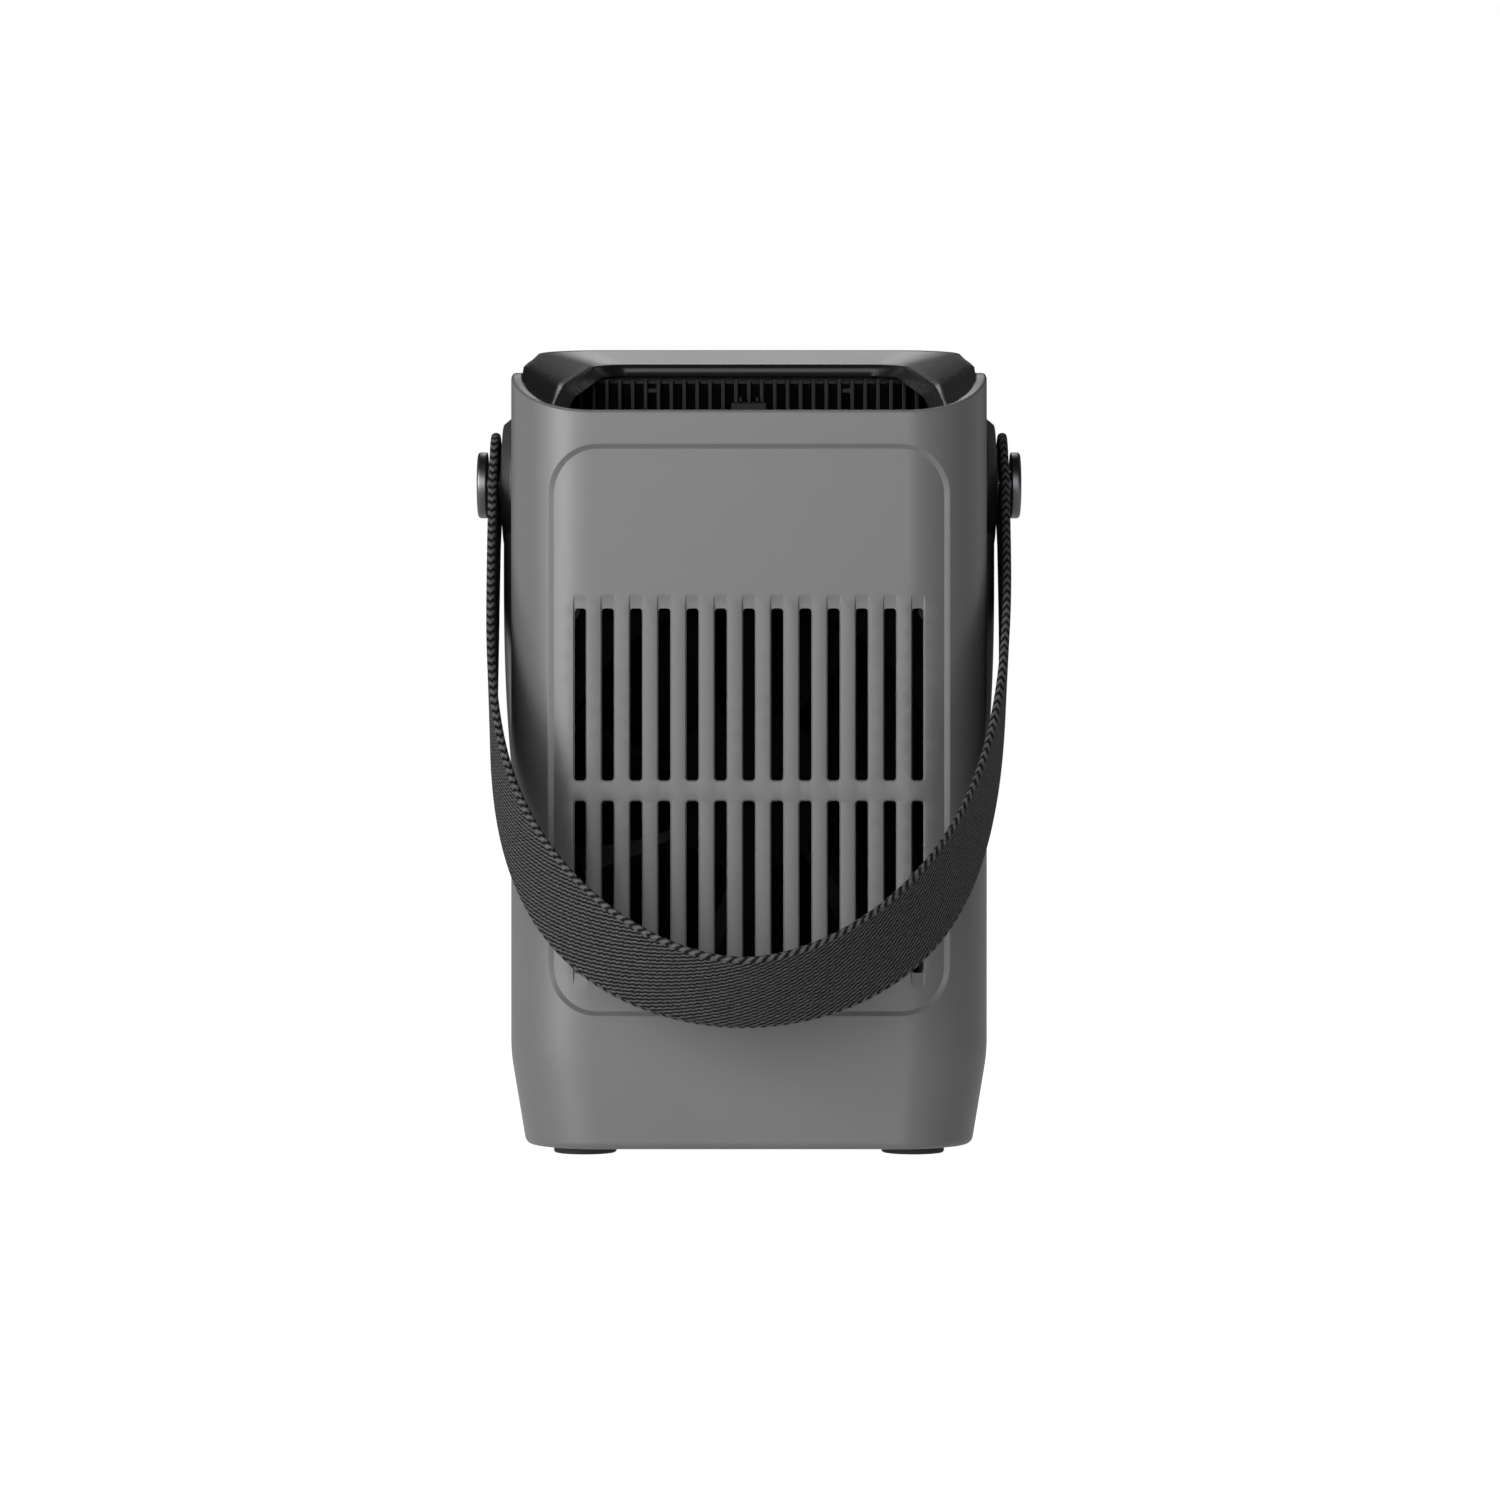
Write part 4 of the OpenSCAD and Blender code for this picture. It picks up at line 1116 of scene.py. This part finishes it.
def make_strap():
    line, at = strap_line(0.42)
    tangent = np.gradient(line[:, :2], axis=0)
    tangent /= np.linalg.norm(tangent, axis=1, keepdims=True)
    normal = np.column_stack([tangent[:, 1], -tangent[:, 0]])
    down = np.array([0, -math.sin(STRAP_LEAN), -math.cos(STRAP_LEAN)])
    right = np.array([1.0, 0, 0])
    wide = np.array([0, math.cos(STRAP_LEAN), -math.sin(STRAP_LEAN)])
    pivot = np.array([0, 0, PIVOT_Z])
    narrowest = 1.15
    points, kinds, places = [], [], []
    for (u, v, turn), n, a in zip(line, normal, at):
        end_w = math.sqrt(max(0.0, (STRAP_W / 2) ** 2 - min(0.0, v) ** 2))  # the ends are round
        low_down = ease((v - 70) / 50)  # 0 on the sides, 1 round the bottom
        sway = STRAP_SWAY * ease((v - 35) / 75)
        for across, through, is_edge in strap_section(max(narrowest, end_w)):
            kinds.append(is_edge)
            places.append((a, through if is_edge else across))
            if is_edge:
                stitch = (a - abs(through) * STITCH_SLANT) / STITCH_PITCH % 1
                grow = STITCH_DEEP * (1 - 0.5 * low_down) * (math.sin(math.pi * stitch) - 0.6)
                across += math.copysign(grow, across)
            flat = through * (1 - STRAP_WORN * low_down)
            out = flat * math.cos(turn) + across * math.sin(turn)
            over = across * math.cos(turn) - flat * math.sin(turn)
            in_plane = right * (u + n[0] * out - sway) + down * (v + n[1] * out)
            points.append(pivot + in_plane + wide * over)
    piece = new_mesh("strap_band", points, capped(len(line), len(points) // len(line)))
    mesh = piece.data
    mesh.materials.append(MATERIALS["webbing"])
    mesh.materials.append(MATERIALS["webbing_edge"])
    uv = mesh.uv_layers.new(name="length_and_width")
    for polygon in mesh.polygons:
        edge_face = sum(kinds[i] for i in polygon.vertices) >= 2
        polygon.material_index = int(edge_face)
        for corner, vertex in zip(polygon.loop_indices, polygon.vertices):
            a, q = places[vertex]
            uv.data[corner].uv = (a, STRAP_T / 2 if edge_face and not kinds[vertex] else q)
    outward(piece)
    smooth(piece, 60)
    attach(piece, "loop")
    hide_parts("strap_webbing")


# ---------- CAD nodes that stay ----------


def finish_cad_nodes():
    """Gives every CAD node that still shows the material of its slot, and softens hard edges."""
    slots = {row["node"]: row["material_slot"] for row in frame["record"]["subparts"]}
    softened = {
        "louvre_comb": 0.3, "louvre_grille": 0.3, "louvre_frame": 0.3, "louvre_latch": 0.35,
        "control_panel": 0.35, "power_button": 0.4, "usb_port": 0.15, "fan_frame": 0.4,
        "motor_bridge": 0.4, "bay_cover": 0.4, "cell_tray": 0.3, "washer_left": 0.2, "washer_right": 0.2,
    }
    for name, node in frame["nodes"].items():
        slot = slots[name]
        # louvre parts take the louvre plastic whose colour carries painted shade
        deep = name.startswith("louvre") and slot == "collar_plastic"
        material = MATERIALS["louvre_plastic" if deep else slot]
        if node.data.materials:
            for i in range(len(node.data.materials)):
                node.data.materials[i] = material
        else:
            node.data.materials.append(material)
        if node.hide_render:
            continue
        if name in softened:
            weld = node.modifiers.new("weld", "WELD")
            weld.merge_threshold = 0.000002
            bevelled(node, softened[name])


# ---------- build ----------

make_camera()
bpy.context.scene.view_settings.view_transform = "Standard"
make_world()
make_stage()
make_lights()
make_materials()
make_shells()
make_base()
make_feet()
make_collar()
make_side_mounts()
make_strap()
finish_cad_nodes()
